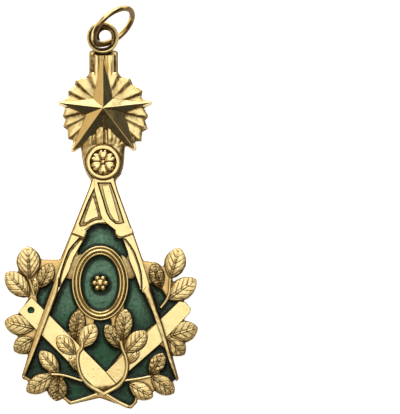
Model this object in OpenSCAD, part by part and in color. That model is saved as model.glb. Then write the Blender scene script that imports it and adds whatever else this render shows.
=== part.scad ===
// Gilt cast collar jewel with champleve enamel: a ring eye on a fluted neck, a five-pointed star
// on a crimped fan of rays, a rosette boss, a pair of compasses over a set square, an oval frame
// and leafy sprigs. It lies on its back, relief up, with the jump ring leaning in the eye.
// Frame: X to the right, Y towards the eye, Z up from the surface that it lies on.

/* [Plate] */
// Thickness of the plate under the enamel cells
plate_t = 1.6; // [1.2:0.1:2]
// Height of the bare metal between the cells above their floor
rim_rise = 0.5; // [0.4:0.1:0.7]
// How far the plate stands proud of the relief all round
plate_margin = 0.1; // [0.05:0.05:0.15]
// Depth at which the relief is rooted in the plate
root_z = 0.8; // [0.5:0.1:1]

/* [Eye and jump ring] */
// Outer radius of the eye
eye_r = 3.2; // [3:0.1:3.4]
// Radius of the hole through the eye
eye_bore_r = 2.05; // [2:0.05:2.15]
// Height of the eye's underside above the back, so that the jump ring passes under it
eye_rise = 1.6; // [1.6:0.05:1.7]
// Thickness of the eye
eye_t = 1.7; // [1.5:0.1:2]
// Radius of the jump ring to the middle of its wire
ring_r = 4.7; // [4.68:0.01:4.72]
// Radius of the jump ring's wire
wire_r = 0.58; // [0.52:0.01:0.6]
// Angle between the jump ring's plane and the plate
ring_lean = 63; // [62.5:0.1:63.5]
// Direction of the jump ring's long axis, from X towards Y
ring_turn = 41.3; // [40.5:0.1:42]

/* [Relief] */
// Height of the star's peak above the back
star_peak = 4.5; // [4:0.1:5]
// Height of the rosette boss above the back
boss_top = 3.6; // [3.2:0.1:3.8]
// Radius of the rosette boss
boss_r = 3.4; // [3.2:0.1:3.6]
// Height of the upper leg of the compasses above the back
leg_top = 3.1; // [2.8:0.1:3.4]
// Height of the set square above the back
square_top = 2.6; // [2.4:0.1:2.8]
// Height of the oval frame above the back
frame_top = 3.0; // [2.8:0.1:3.4]
// Width of the oval frame's moulding
frame_w = 1.9; // [1.6:0.1:2.2]
// Rise of a leaf's crown above its edge
leaf_crown = 0.45; // [0.3:0.05:0.6]
// Depth of a leaf's midrib groove
leaf_groove = 0.15; // [0.1:0.05:0.25]

/* [Enamel] */
// Gap between an enamel filling and the walls of its cell
cell_gap = 0.1; // [0.08:0.01:0.15]
// Gap between an enamel filling and the floor of its cell
floor_gap = 0.05; // [0.03:0.01:0.1]
// Height of the enamel's surface above the back
enamel_top = 2.05; // [1.9:0.05:2.1]

/* [Hidden] */

gold = "#dcc06a";
green = "#124a33";
$fn = 48;

// Columns of every point: distance to the right and towards the eye from the jewel's middle
X = 0;
Y = 1;

// Columns of the radial tables, the stems' table and the leaves' table
ANGLE = 0;
REACH = 1;
HEIGHT = 2;
THICKNESS = 0;
POINTS = 1;
BASE_X = 0;
BASE_Y = 1;
TIP_X = 2;
TIP_Y = 3;
WIDTH = 4;
EDGE = 5;

// Plate and cells: the thinnest sliver of enamel that is kept
sliver = 0.1;
rim_top = plate_t + rim_rise;

// Eye, neck and boss
eye = [0.5, 33.9];
eye_edge = 0.25;
eye_lip = 0.5;
back_edge = 0.4;
dish_r = 2.35;
dish_floor = 0.6;
neck_w = 5.5;
neck_foot_y = 24;
neck_overlap = 0.45;
neck_head_y = eye[Y] - eye_r + neck_overlap;
neck_groove = 0.2;
neck_x = 0.65;
ramp_length = 2.2;
boss = [0.6, 9];
boss_wall = 0.65;
boss_floor = boss_top - 0.55;
petals = 6;
petal_turn = 30;
petal_sink = 0.1;
petal_r = 0.74;
petal_ring_r = 1.62;
boss_bead_r = 0.62;

// Jump ring: its middle from the eye's middle, so high that its low side touches the surface
ring_from_eye = [2.1, 2.15];
ring_middle_z = ring_r * sin(ring_lean) + wire_r;

// Fluted section of the neck: place across the neck as a share of its width, and height
neck_section = [[-0.5, 2.3], [-0.42, 2.65], [-0.27, 2.3], [-0.12, 2.65], [0, 2.45],
                [0.12, 2.65], [0.27, 2.3], [0.42, 2.65], [0.5, 2.3]];

// Star: angle, reach from the peak and height of each blunt tip's corners and each inner corner
star = [0.6, 19.85];
star_rows = [[88.6, 10.4, 2.5], [91.4, 10.4, 2.5], [138, 3.1, 2.7], [171.3, 8.95, 2.4],
             [174.7, 8.95, 2.4], [201, 4, 2.7], [232.6, 10.6, 2.4], [235.4, 10.6, 2.4],
             [270, 4.2, 2.7], [306.1, 10.4, 2.4], [308.9, 10.4, 2.4], [345.5, 4.6, 2.7],
             [365, 9.65, 2.4], [368, 9.65, 2.4], [404, 3, 2.7]];

// Fan: angle and reach of each ray's ridge; the folds between them lie lower and nearer
fan_rays = [[48, 7.9], [68, 7.6], [109, 7.5], [134, 7.8], [153, 7.8], [172, 8.1], [191, 8.2],
            [205, 8.8], [221, 9.3], [234, 9.8], [252, 8.6], [264, 8.4], [276, 8.4], [288, 8.6],
            [307, 9.8], [319, 10], [335, 9.7], [349.5, 9.1], [366, 8.6], [384, 8.5]];
fan_peak = 3.0;
ray_z = 2.55;
fold_z = 2.1;
fold_share = 0.9;

// Collar round the boss, between the star and the compasses
collar = [[-3.8, 13], [-3.6, 10.6], [-3.2, 8.2], [-2.5, 6.5], [-1.7, 5.4], [2.9, 5.4], [4, 6.6],
          [4.5, 8.2], [4.7, 10.6], [4.8, 13]];
collar_top = 2.5;

// Compasses: outlines of the two legs, and the raised and sunk parts on them
leg_left = [[-1.45, 6], [-2.25, 3.6], [-5.7, -5.2], [-7.7, -10.6], [-9, -14.2], [-12.1, -22.6],
            [-15.6, -33.6], [-15.4, -34.2], [-14.8, -33.4], [-11.2, -24.6], [-8.4, -17.1],
            [-7.7, -15.6], [-6.2, -12.9], [-5.2, -10], [-3.2, -6.5], [-2.6, -4.5], [-0.8, -3.2],
            [1.2, -3.5], [1.2, 6]];
leg_right = [[2.7, 6], [-1.3, 6], [-1.2, 3.4], [0.15, -1.8], [0.9, -2.9], [3, -4.6], [3.2, -5.9],
             [4.4, -6.2], [5.3, -8.3], [5.8, -10.7], [6.9, -13.3], [7.9, -16.3], [9.1, -17.7],
             [11.2, -23.1], [12.6, -27.2], [13.6, -30.5], [15.2, -34.6], [15.6, -34.3],
             [12.9, -24.5], [11.4, -20.5], [9.4, -13.9], [8.5, -10.8], [6.4, -4.8], [3.35, 3.5]];
leg_left_panel = [[-1.35, 3.6], [-2.5, 1.25], [-4.2, -3.1], [-3.1, -3.5], [-1.85, -2.6],
                  [-0.8, -2.2], [0.1, -2.15], [-0.4, 0.2], [-1.1, 2.9]];
leg_left_blade = [[-4.2, -6], [-5.5, -7.4], [-6.4, -8.5], [-7.2, -10.5], [-7.9, -12.7],
                  [-8.25, -14.3], [-8.2, -15.5], [-7.5, -15], [-6.1, -12.7], [-5.1, -9.9],
                  [-3.25, -6.5]];
leg_right_blade = [[4.5, -6.1], [5.1, -6.2], [6.2, -7.6], [7, -9], [7.85, -11.4], [8.3, -13.2],
                   [8.45, -15.2], [8.3, -16.3], [8, -16.1], [7, -13.3], [5.95, -10.7],
                   [5.4, -8.3]];
leg_right_panel = [[0.35, 4.4], [1.05, 1.3], [1.85, -1.2], [2.6, -2.4], [3.25, -2.95], [3.95, -2.75],
                   [3.6, -1.5], [2.85, 1.2], [1.85, 4.4]];
leg_left_knuckle = [[-5.1, -4.3], [-5.9, -5.1], [-3, -6.2], [-2.65, -4.5]];
leg_right_knuckle = [[3.1, -4.4], [3.3, -5.8], [6.7, -5.1], [6.45, -4.3]];
leg_left_drop = 0.25;
blade_drop = 0.45;
knuckle_rise = 0.15;

// Set square: outlines of its two arms, and the hole in its left arm
square_left = [[-13.7, -17.9], [-16.4, -20.8], [-1.4, -35.7], [0.8, -36.5], [3.2, -35.2],
               [1.1, -32.8]];
square_right = [[1.1, -32.8], [3.2, -35.2], [5.6, -32.8], [11.8, -27.4], [18, -20.9], [18, -20],
                [17, -18.9], [15.7, -18.7], [10.6, -23.7], [4.5, -29.4]];
mitre_step = 0.12;
square_dot = [-13.8, -20.5];
square_dot_r = 0.62;

// Oval frame with a rosette in its middle
frame = [0, -15.1];
frame_rx = 5.7;
frame_ry = 7.5;
frame_points = 48;
frame_step = 0.55;
frame_step_drop = 0.35;
rosette_r = 0.52;
rosette_ring_r = 1.1;
rosette_top = 2.7;
rosette_bead_r = 0.84;
rosette_bead_rise = 0.15;
frame_fillers = [[[-5.3, -9.9], [-6.4, -12.6], [-6.6, -14.2], [-5.2, -14.4], [-3.6, -9.2]],
                 [[4.2, -9.3], [5.9, -10.8], [7, -13.2], [6.6, -14.2], [5.2, -14.2]]];
filler_top = 2.5;

// Stems: outline through these points, a row for each stem, and its width
stems = [[0.7, [[0.8, -37.3], [-3, -34.7], [-4.4, -31.5], [-4.3, -29], [-3.6, -27.9]]],
         [0.7, [[0.7, -37.3], [4, -35.2], [5.2, -33], [5.2, -30.1], [4.4, -28], [4.1, -26.6]]],
         [0.5, [[-3.6, -34.6], [-7.8, -33.4], [-9.7, -33.3]]],
         [0.5, [[4.4, -34.6], [8, -34.1], [9.9, -33.7]]],
         [0.5, [[-0.6, -37.2], [-3.4, -38.2], [-5.8, -38.9]]],
         [0.8, [[1.2, -37.3], [3.8, -38.9], [5.5, -39.7]]],
         [0.6, [[-14.1, -14.4], [-13.2, -17.4]]],
         [0.6, [[14, -14.1], [13.5, -17.9]]],
         [0.35, [[13.5, -17.9], [12.1, -20]]]];
stem_top = 2.95;
stem_fn = 16;
stem_ease = 0.1;

// Leaves: base, tip, width, and height of the edge above the back
leaves = [[-14, -14.2, -14.5, -7.8, 4.9, 2.5],
          [-14.1, -17.7, -18.8, -13, 4.2, 2.3],
          [-12.2, -16.1, -9.7, -11.2, 3.4, 2.3],
          [-12.7, -17.5, -13, -14.1, 1.4, 2.4],
          [-13.1, -24.1, -19.1, -22.8, 4.2, 2.3],
          [-13.3, -26.2, -17.2, -28.6, 3.7, 2.2],
          [-8.3, -33, -12, -28.7, 3.4, 2.5],
          [-9.2, -33.4, -14.7, -36.7, 3.8, 2.4],
          [-8.2, -33.6, -8.8, -38.6, 4.2, 2.3],
          [-5.1, -26.6, -4.2, -20.4, 3.5, 2.3],
          [-4, -28, -1, -23.4, 3.8, 2.6],
          [-4.9, -29.3, -8.6, -25.7, 3.3, 2.7],
          [-4.6, -32.6, -6.1, -29.6, 1.5, 2.6],
          [4.3, -26.6, 5.1, -20.3, 3.7, 2.6],
          [4.1, -28.2, 1.1, -23.4, 3.1, 2.3],
          [5, -28.9, 9.2, -24.7, 3.8, 2.7],
          [5.4, -31.3, 7.8, -28.8, 1.5, 2.6],
          [10, -33.4, 12.6, -29.1, 3.3, 2.5],
          [10.2, -33.7, 14.7, -37, 3.8, 2.4],
          [5.8, -35.2, 10.4, -37.9, 3.5, 2.4],
          [14, -14.1, 15.8, -8.1, 4.3, 2.5],
          [13.5, -18.3, 19.1, -14.4, 4.2, 2.5],
          [12.1, -16.3, 10.6, -11.1, 3.1, 2.3],
          [14, -25.6, 19.4, -24, 4.2, 2.3],
          [13.5, -26.2, 16.8, -29.3, 3.6, 2.2]];
leaf_stations = [0.1, 0.28, 0.52, 0.76, 0.93];
leaf_shoulder = 0.5;
leaf_fullness = 0.62;
crown_fullness = 0.5;

// Outline of the plate between and behind the leaves
core = [[-12.1, -10.5], [-8.1, -10.5], [8.3, -10.7], [11.4, -11.1], [13.9, -13.3], [15.5, -18.1],
        [18, -20.2], [15.6, -24], [14.3, -27.5], [14.4, -32.9], [13.9, -35], [9.9, -37], [6.9, -37],
        [7.3, -38.9], [6.1, -40.1], [-0.1, -37.9], [-6.1, -39.3], [-7.1, -38.3], [-9.1, -36.7],
        [-12.1, -35.7], [-14.9, -34.3], [-14.9, -31.5], [-14.3, -29.3], [-14.6, -24.5],
        [-16.2, -21.1], [-13.9, -17.7], [-12.6, -14.1]];
bridge = [[-1.5, 5.6], [-2.25, 3.6], [-8.1, -10.8], [8.4, -10.8], [3.35, 3.5], [2.8, 5.6]];

// Enamel cells: windows in the bare metal, wherever they reach under the relief it bounds them
cell_arch = [[-3.3, -3.9], [-0.7, -2.8], [1.1, -2.9], [3.9, -5.2], [5.6, -8.5], [5, -11.2],
             [-4.8, -11.2], [-4.3, -8.5]];
cell_field_left = [[-8.8, -16.2], [-7.6, -13.4], [-5, -12.4], [-4.5, -20.8], [-4.9, -25.6],
                   [-6.4, -25], [-10.8, -22.6]];
cell_field_right = [[5.2, -12.4], [7.4, -13.6], [8.3, -16.4], [11.2, -22.9], [7.8, -25.6],
                    [5, -24.5], [4.8, -20.6]];
cell_diamond = [[-1.3, -21.9], [1.9, -21.9], [2.5, -24.6], [4.6, -28.4], [1.1, -33.2],
                [-3.4, -28.9], [-0.9, -24.5]];
cell_lower_left = [[-11.8, -24], [-10.6, -24.6], [-2.6, -33.6], [-3.8, -34.5], [-7.8, -33.4],
                   [-9.7, -33.3], [-13.8, -34.2], [-14.9, -33.6]];
cell_lower_right = [[11, -27], [13.2, -28.4], [15.1, -34.3], [14.3, -34.9], [9.9, -34.2],
                    [5, -34.8], [4.9, -32.8]];
cell_outer_left = [[-12.7, -17.3], [-11.6, -15.6], [-9, -14.6], [-11.4, -21.8], [-12.2, -20.8]];
cell_outer_right = [[9.3, -15.1], [11.5, -15.3], [13.2, -17.9], [16.4, -18.2], [12, -23.4],
                    [11, -21]];
cell_foot_left = [[-7.4, -33.5], [-3.7, -34.5], [-1.1, -36.9], [-1.8, -37.6], [-5.7, -38.6],
                  [-6.8, -37.9]];
cell_foot_right = [[2, -36.6], [4.6, -34.4], [6.5, -35], [6.8, -38.6], [6, -39.5], [2.2, -37.9]];

// Points of an ellipse with the given half-axes
function ellipse_points(rx, ry, n) = [for (i = [0:n - 1]) [rx * cos(360 * i / n), ry * sin(360 * i / n)]];

// Half-width of a leaf at a share of its length, for a blade that is broadest past its middle
function leaf_half(share, width) = width / 2 * pow(sin(180 * share), leaf_fullness);

// Rise of a leaf's crown above its edge at a share of its length
function leaf_rise(share) = leaf_crown * pow(sin(180 * share), crown_fullness);

// Length and direction of a leaf's row
function leaf_length(row) = norm([row[TIP_X] - row[BASE_X], row[TIP_Y] - row[BASE_Y]]);
function leaf_angle(row) = atan2(row[TIP_Y] - row[BASE_Y], row[TIP_X] - row[BASE_X]);

// Outline of a leaf from its base round by its right edge to the tip and back
function leaf_outline(length, width) = concat([[0, 0]],
    [for (s = leaf_stations) [s * length, -leaf_half(s, width)]], [[length, 0]],
    [for (i = [len(leaf_stations) - 1:-1:0])
        [leaf_stations[i] * length, leaf_half(leaf_stations[i], width)]]);

// Places a shape drawn along X on a leaf's own place and direction
module on_leaf(row) {
    translate([row[BASE_X], row[BASE_Y]]) rotate(leaf_angle(row)) children();
}

// A leaf's flat shape
module leaf_flat(row) {
    on_leaf(row) polygon(leaf_outline(leaf_length(row), row[WIDTH]));
}

// One leaf: two domed halves on a short upright edge, with a groove along the midrib
module leaf(row) {
    n = len(leaf_stations);
    length = leaf_length(row);
    edge = row[EDGE];
    outline = leaf_outline(length, row[WIDTH]);
    count = len(outline);
    rim = [for (p = outline) [p[X], p[Y], edge]];
    foot = [for (p = outline) [p[X], p[Y], root_z]];
    inner = [for (i = [0:n - 1], side = [-leaf_shoulder, 0, leaf_shoulder])
        [leaf_stations[i] * length, side * leaf_half(leaf_stations[i], row[WIDTH]),
         edge + leaf_rise(leaf_stations[i]) - (side == 0 ? leaf_groove : 0)]];
    // Numbers of the points: the rim, the foot under it, and three inner points a station
    right = function(i) i + 1;
    left = function(i) count - 1 - i;
    in = function(i, k) 2 * count + 3 * i + k;
    across = function(i) [right(i), in(i, 0), in(i, 1), in(i, 2), left(i)];
    strips = [for (i = [0:n - 2], k = [0:3]) let (a = across(i), b = across(i + 1))
        each [[a[k], a[k + 1], b[k + 1]], [a[k], b[k + 1], b[k]]]];
    base_end = [for (k = [0:3]) let (a = across(0)) [0, a[k + 1], a[k]]];
    tip_end = [for (k = [0:3]) let (a = across(n - 1)) [n + 1, a[k], a[k + 1]]];
    skirt = [for (i = [0:count - 1]) let (j = (i + 1) % count)
        each [[i, j, count + j], [i, count + j, count + i]]];
    bottom = [for (i = [1:count - 2]) [count, count + i, count + i + 1]];
    on_leaf(row) polyhedron(points = concat(rim, foot, inner),
        faces = concat(strips, base_end, tip_end, skirt, bottom));
}

// A relief that falls from a peak to an outline given by angle, reach and height, on a skirt
module radial_relief(rows, peak) {
    n = len(rows);
    rim = [for (r = rows) [r[REACH] * cos(r[ANGLE]), r[REACH] * sin(r[ANGLE]), r[HEIGHT]]];
    foot = [for (p = rim) [p[X], p[Y], root_z]];
    faces = [for (i = [0:n - 1]) let (j = (i + 1) % n)
        each [[2 * n, j, i], [i, j, n + j], [i, n + j, n + i], [2 * n + 1, n + i, n + j]]];
    polyhedron(points = concat(rim, foot, [[0, 0, peak], [0, 0, root_z]]), faces = faces);
}

// Rows of the crimped fan: each ray's ridge, then the fold before the next ray
function fan_rows() = [for (i = [0:len(fan_rays) - 1])
    let (a = fan_rays[i], last = i == len(fan_rays) - 1,
         b = last ? [fan_rays[0][ANGLE] + 360, fan_rays[0][REACH]] : fan_rays[i + 1])
    each [[a[ANGLE], a[REACH], ray_z],
          [(a[ANGLE] + b[ANGLE]) / 2, fold_share * (a[REACH] + b[REACH]) / 2, fold_z]]];

// Flat outline of radial rows
module radial_flat(rows) {
    polygon([for (r = rows) [r[REACH] * cos(r[ANGLE]), r[REACH] * sin(r[ANGLE])]]);
}

// Bars between the points of a stem, with a round at each point, thinner by the easing all round
module stem_bars(row) {
    w = row[THICKNESS] - 2 * stem_ease;
    points = row[POINTS];
    for (p = points) translate(p) circle(d = w, $fn = stem_fn);
    for (i = [0:len(points) - 2]) {
        step = points[i + 1] - points[i];
        angle = atan2(step[Y], step[X]);
        translate(points[i]) rotate(angle) translate([0, -w / 2]) square([norm(step), w]);
    }
}

// All the stems as one flat shape with eased corners
module stems_flat() {
    offset(r = stem_ease, $fn = stem_fn) for (row = stems) stem_bars(row);
}

// All the cells' windows as one flat shape
module windows_flat() {
    for (cell = [cell_arch, cell_field_left, cell_field_right, cell_diamond, cell_lower_left,
                 cell_lower_right, cell_outer_left, cell_outer_right, cell_foot_left,
                 cell_foot_right]) polygon(cell);
    translate(frame) polygon(ellipse_points(frame_rx, frame_ry, frame_points));
    translate(square_dot) circle(r = square_dot_r);
}

// The relief that stands over the cells, as one flat shape
module relief_flat() {
    polygon(leg_left);
    polygon(leg_right);
    polygon(leg_left_knuckle);
    polygon(leg_right_knuckle);
    polygon(square_left);
    polygon(square_right);
    for (f = frame_fillers) polygon(f);
    for (row = leaves) leaf_flat(row);
    stems_flat();
    translate(frame) polygon(ellipse_points(frame_rx, frame_ry, frame_points));
}

// Outline of the whole plate, without the eye
module plate_flat() {
    offset(delta = plate_margin) {
        polygon(core);
        polygon(bridge);
        polygon(collar);
        polygon(leg_left);
        polygon(leg_right);
        translate(star) radial_flat(fan_rows());
        translate(star) radial_flat(star_rows);
        for (row = leaves) leaf_flat(row);
        translate([neck_x - neck_w / 2, neck_foot_y]) square([neck_w, neck_head_y - neck_foot_y]);
    }
}

// Room for the jump ring behind the neck's head: a ramp from the back up to the eye's underside
module ring_room() {
    translate([neck_x - neck_w, 0, 0]) rotate([90, 0, 90]) linear_extrude(2 * neck_w)
        polygon([[neck_head_y - ramp_length, 0], [neck_head_y, eye_rise], [eye[Y], eye_rise],
            [eye[Y], -eye_rise], [neck_head_y - ramp_length, -eye_rise]]);
}

// The plate with its cells sunk in it
module plate() {
    difference() {
        linear_extrude(rim_top) plate_flat();
        translate([0, 0, plate_t]) linear_extrude(rim_top) windows_flat();
        ring_room();
    }
}

// The eye: a ring with a dished face, turned from its section
module eye_ring() {
    translate([eye[X], eye[Y], eye_rise]) rotate_extrude() polygon([[eye_bore_r, eye_edge],
        [eye_bore_r + eye_edge, 0], [eye_r - back_edge, 0], [eye_r, back_edge],
        [eye_r, eye_t - eye_edge], [eye_r - eye_edge, eye_t], [eye_r - eye_lip, eye_t],
        [dish_r, dish_floor], [eye_bore_r, dish_floor - eye_edge]]);
}

// The fluted neck between the eye and the star
module neck() {
    section = concat([[-neck_w / 2, root_z]], [for (p = neck_section) [p[X] * neck_w, p[Y]]],
        [[neck_w / 2, root_z]]);
    top_y = eye[Y] - eye_r - neck_groove;
    translate([neck_x, top_y, 0]) rotate([90, 0, 0]) linear_extrude(top_y - neck_foot_y) polygon(section);
}

// The boss with its sunk floor, six domed petals and a bead
module rosette_boss() {
    translate(boss) {
        difference() {
            translate([0, 0, root_z]) cylinder(r = boss_r, h = boss_top - root_z);
            translate([0, 0, boss_floor]) cylinder(r = boss_r - boss_wall, h = boss_top);
        }
        for (i = [0:petals - 1]) rotate(petal_turn + 360 * i / petals)
            translate([petal_ring_r, 0, boss_floor - petal_sink]) sphere(r = petal_r);
        translate([0, 0, boss_floor]) sphere(r = boss_bead_r);
    }
}

// A flat-topped piece of relief, rooted in the plate
module raised(top) {
    translate([0, 0, root_z]) linear_extrude(top - root_z) children();
}

// The leg that lies under at the head: sunk panel, knuckle and lower inner blade
module compass_left() {
    top = leg_top - leg_left_drop;
    difference() {
        raised(top) polygon(leg_left);
        translate([0, 0, top - blade_drop]) linear_extrude(leg_top) polygon(leg_left_panel);
        translate([0, 0, top - blade_drop]) linear_extrude(leg_top) polygon(leg_left_blade);
    }
    raised(top + knuckle_rise) polygon(leg_left_knuckle);
}

// The leg that lies over at the head: raised panel, knuckle and lower inner blade
module compass_right() {
    difference() {
        raised(leg_top) polygon(leg_right);
        translate([0, 0, leg_top - blade_drop]) linear_extrude(leg_top) polygon(leg_right_blade);
    }
    raised(leg_top + knuckle_rise) polygon(leg_right_panel);
    raised(leg_top + knuckle_rise) polygon(leg_right_knuckle);
}

// The set square, its left arm lapped over the right one and drilled for an enamel dot
module set_square() {
    difference() {
        raised(square_top) polygon(square_left);
        translate([square_dot[X], square_dot[Y], plate_t]) cylinder(r = square_dot_r, h = square_top);
    }
    raised(square_top - mitre_step) polygon(square_right);
}

// An upright oval ring of metal between two ellipses
module oval_ring(inset, w, top) {
    raised(top) difference() {
        polygon(ellipse_points(frame_rx - inset, frame_ry - inset, frame_points));
        polygon(ellipse_points(frame_rx - inset - w, frame_ry - inset - w, frame_points));
    }
}

// The oval frame: a moulded ring with a higher middle step, and a rosette of beads inside
module oval_frame() {
    translate(frame) {
        oval_ring(0, frame_w, frame_top - frame_step_drop);
        oval_ring(frame_step, frame_w - 2 * frame_step, frame_top);
        for (i = [0:petals - 1]) rotate(360 * i / petals) translate([rosette_ring_r, 0])
            raised(rosette_top) circle(r = rosette_r);
        raised(rosette_top + rosette_bead_rise) circle(r = rosette_bead_r);
    }
    for (f = frame_fillers) raised(filler_top) polygon(f);
}

// The cast metal of the whole jewel, one solid
module plaque() {
    color(gold) {
        plate();
        eye_ring();
        neck();
        raised(collar_top) polygon(collar);
        translate(star) radial_relief(fan_rows(), fan_peak);
        translate(star) radial_relief(star_rows, star_peak);
        rosette_boss();
        compass_left();
        compass_right();
        set_square();
        oval_frame();
        raised(stem_top) stems_flat();
        for (row = leaves) leaf(row);
    }
}

// One enamel filling: its window less the relief, held off the walls and the floor
module enamel(cell) {
    color(green) translate([0, 0, plate_t + floor_gap])
        linear_extrude(enamel_top - plate_t - floor_gap)
            offset(delta = sliver, chamfer = true) offset(delta = -sliver - cell_gap) difference() {
                polygon(cell);
                relief_flat();
            }
}

module enamel_arch() { enamel(cell_arch); }
module enamel_field_left() { enamel(cell_field_left); }
module enamel_field_right() { enamel(cell_field_right); }
module enamel_diamond() { enamel(cell_diamond); }
module enamel_lower_left() { enamel(cell_lower_left); }
module enamel_lower_right() { enamel(cell_lower_right); }
module enamel_outer_left() { enamel(cell_outer_left); }
module enamel_outer_right() { enamel(cell_outer_right); }
module enamel_foot_left() { enamel(cell_foot_left); }
module enamel_foot_right() { enamel(cell_foot_right); }

// The filling inside the oval frame, round the rosette
module enamel_oval() {
    inner = frame_w + cell_gap;
    color(green) translate([frame[X], frame[Y], plate_t + floor_gap])
        linear_extrude(enamel_top - plate_t - floor_gap) difference() {
            polygon(ellipse_points(frame_rx - inner, frame_ry - inner, frame_points));
            circle(r = rosette_ring_r + rosette_r + cell_gap);
        }
}

// The dot of enamel in the set square's left arm
module enamel_dot() {
    color(green) translate([square_dot[X], square_dot[Y], plate_t + floor_gap])
        cylinder(r = square_dot_r - cell_gap, h = square_top - plate_t - 2 * floor_gap);
}

// The jump ring, hooked through the eye and leaning on the surface
module jump_ring() {
    color(gold) translate([eye[X] + ring_from_eye[X], eye[Y] + ring_from_eye[Y], ring_middle_z])
        rotate([0, 0, ring_turn]) rotate([ring_lean, 0, 0])
            rotate_extrude() translate([ring_r, 0]) circle(r = wire_r);
}

plaque();
enamel_arch();
enamel_oval();
enamel_field_left();
enamel_field_right();
enamel_diamond();
enamel_lower_left();
enamel_lower_right();
enamel_outer_left();
enamel_outer_right();
enamel_foot_left();
enamel_foot_right();
enamel_dot();
jump_ring();
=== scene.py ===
import logging
import math
from contextlib import contextmanager
from dataclasses import dataclass, field
from enum import Enum
from typing import Callable, Iterator, Optional, Sequence

import bmesh
import bpy
import numpy as np
from mathutils import Matrix, Vector, kdtree


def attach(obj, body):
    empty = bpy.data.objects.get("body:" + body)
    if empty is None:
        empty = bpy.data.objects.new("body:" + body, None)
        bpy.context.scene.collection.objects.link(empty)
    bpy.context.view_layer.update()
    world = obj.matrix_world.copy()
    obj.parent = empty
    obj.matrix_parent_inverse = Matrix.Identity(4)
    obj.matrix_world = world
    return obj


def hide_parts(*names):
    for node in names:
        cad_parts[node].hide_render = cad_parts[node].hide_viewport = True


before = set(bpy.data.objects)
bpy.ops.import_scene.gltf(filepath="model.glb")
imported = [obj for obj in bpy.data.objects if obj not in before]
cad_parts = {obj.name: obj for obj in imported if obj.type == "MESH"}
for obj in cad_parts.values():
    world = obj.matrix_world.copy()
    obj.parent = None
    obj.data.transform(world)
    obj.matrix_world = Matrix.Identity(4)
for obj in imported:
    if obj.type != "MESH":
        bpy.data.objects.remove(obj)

LOG = logging.getLogger("enamel_medal")
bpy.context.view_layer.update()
BODY = "root"
MM = 0.001
# The darkest stored share of tarnished colour and painted shade: black.
BLACK = 1.4

Point = tuple[float, float]
Triple = tuple[float, float, float]
Outline = Sequence[Point]
Colour = Triple
# A fade is a share, then the place where it begins and the place where it is full.
Fade = Triple
Array = np.ndarray
Places = tuple[Array, Array, Array]
Piece = bpy.types.Object
Material = bpy.types.Material
Socket = bpy.types.NodeSocket


# Modelling bench


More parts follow.
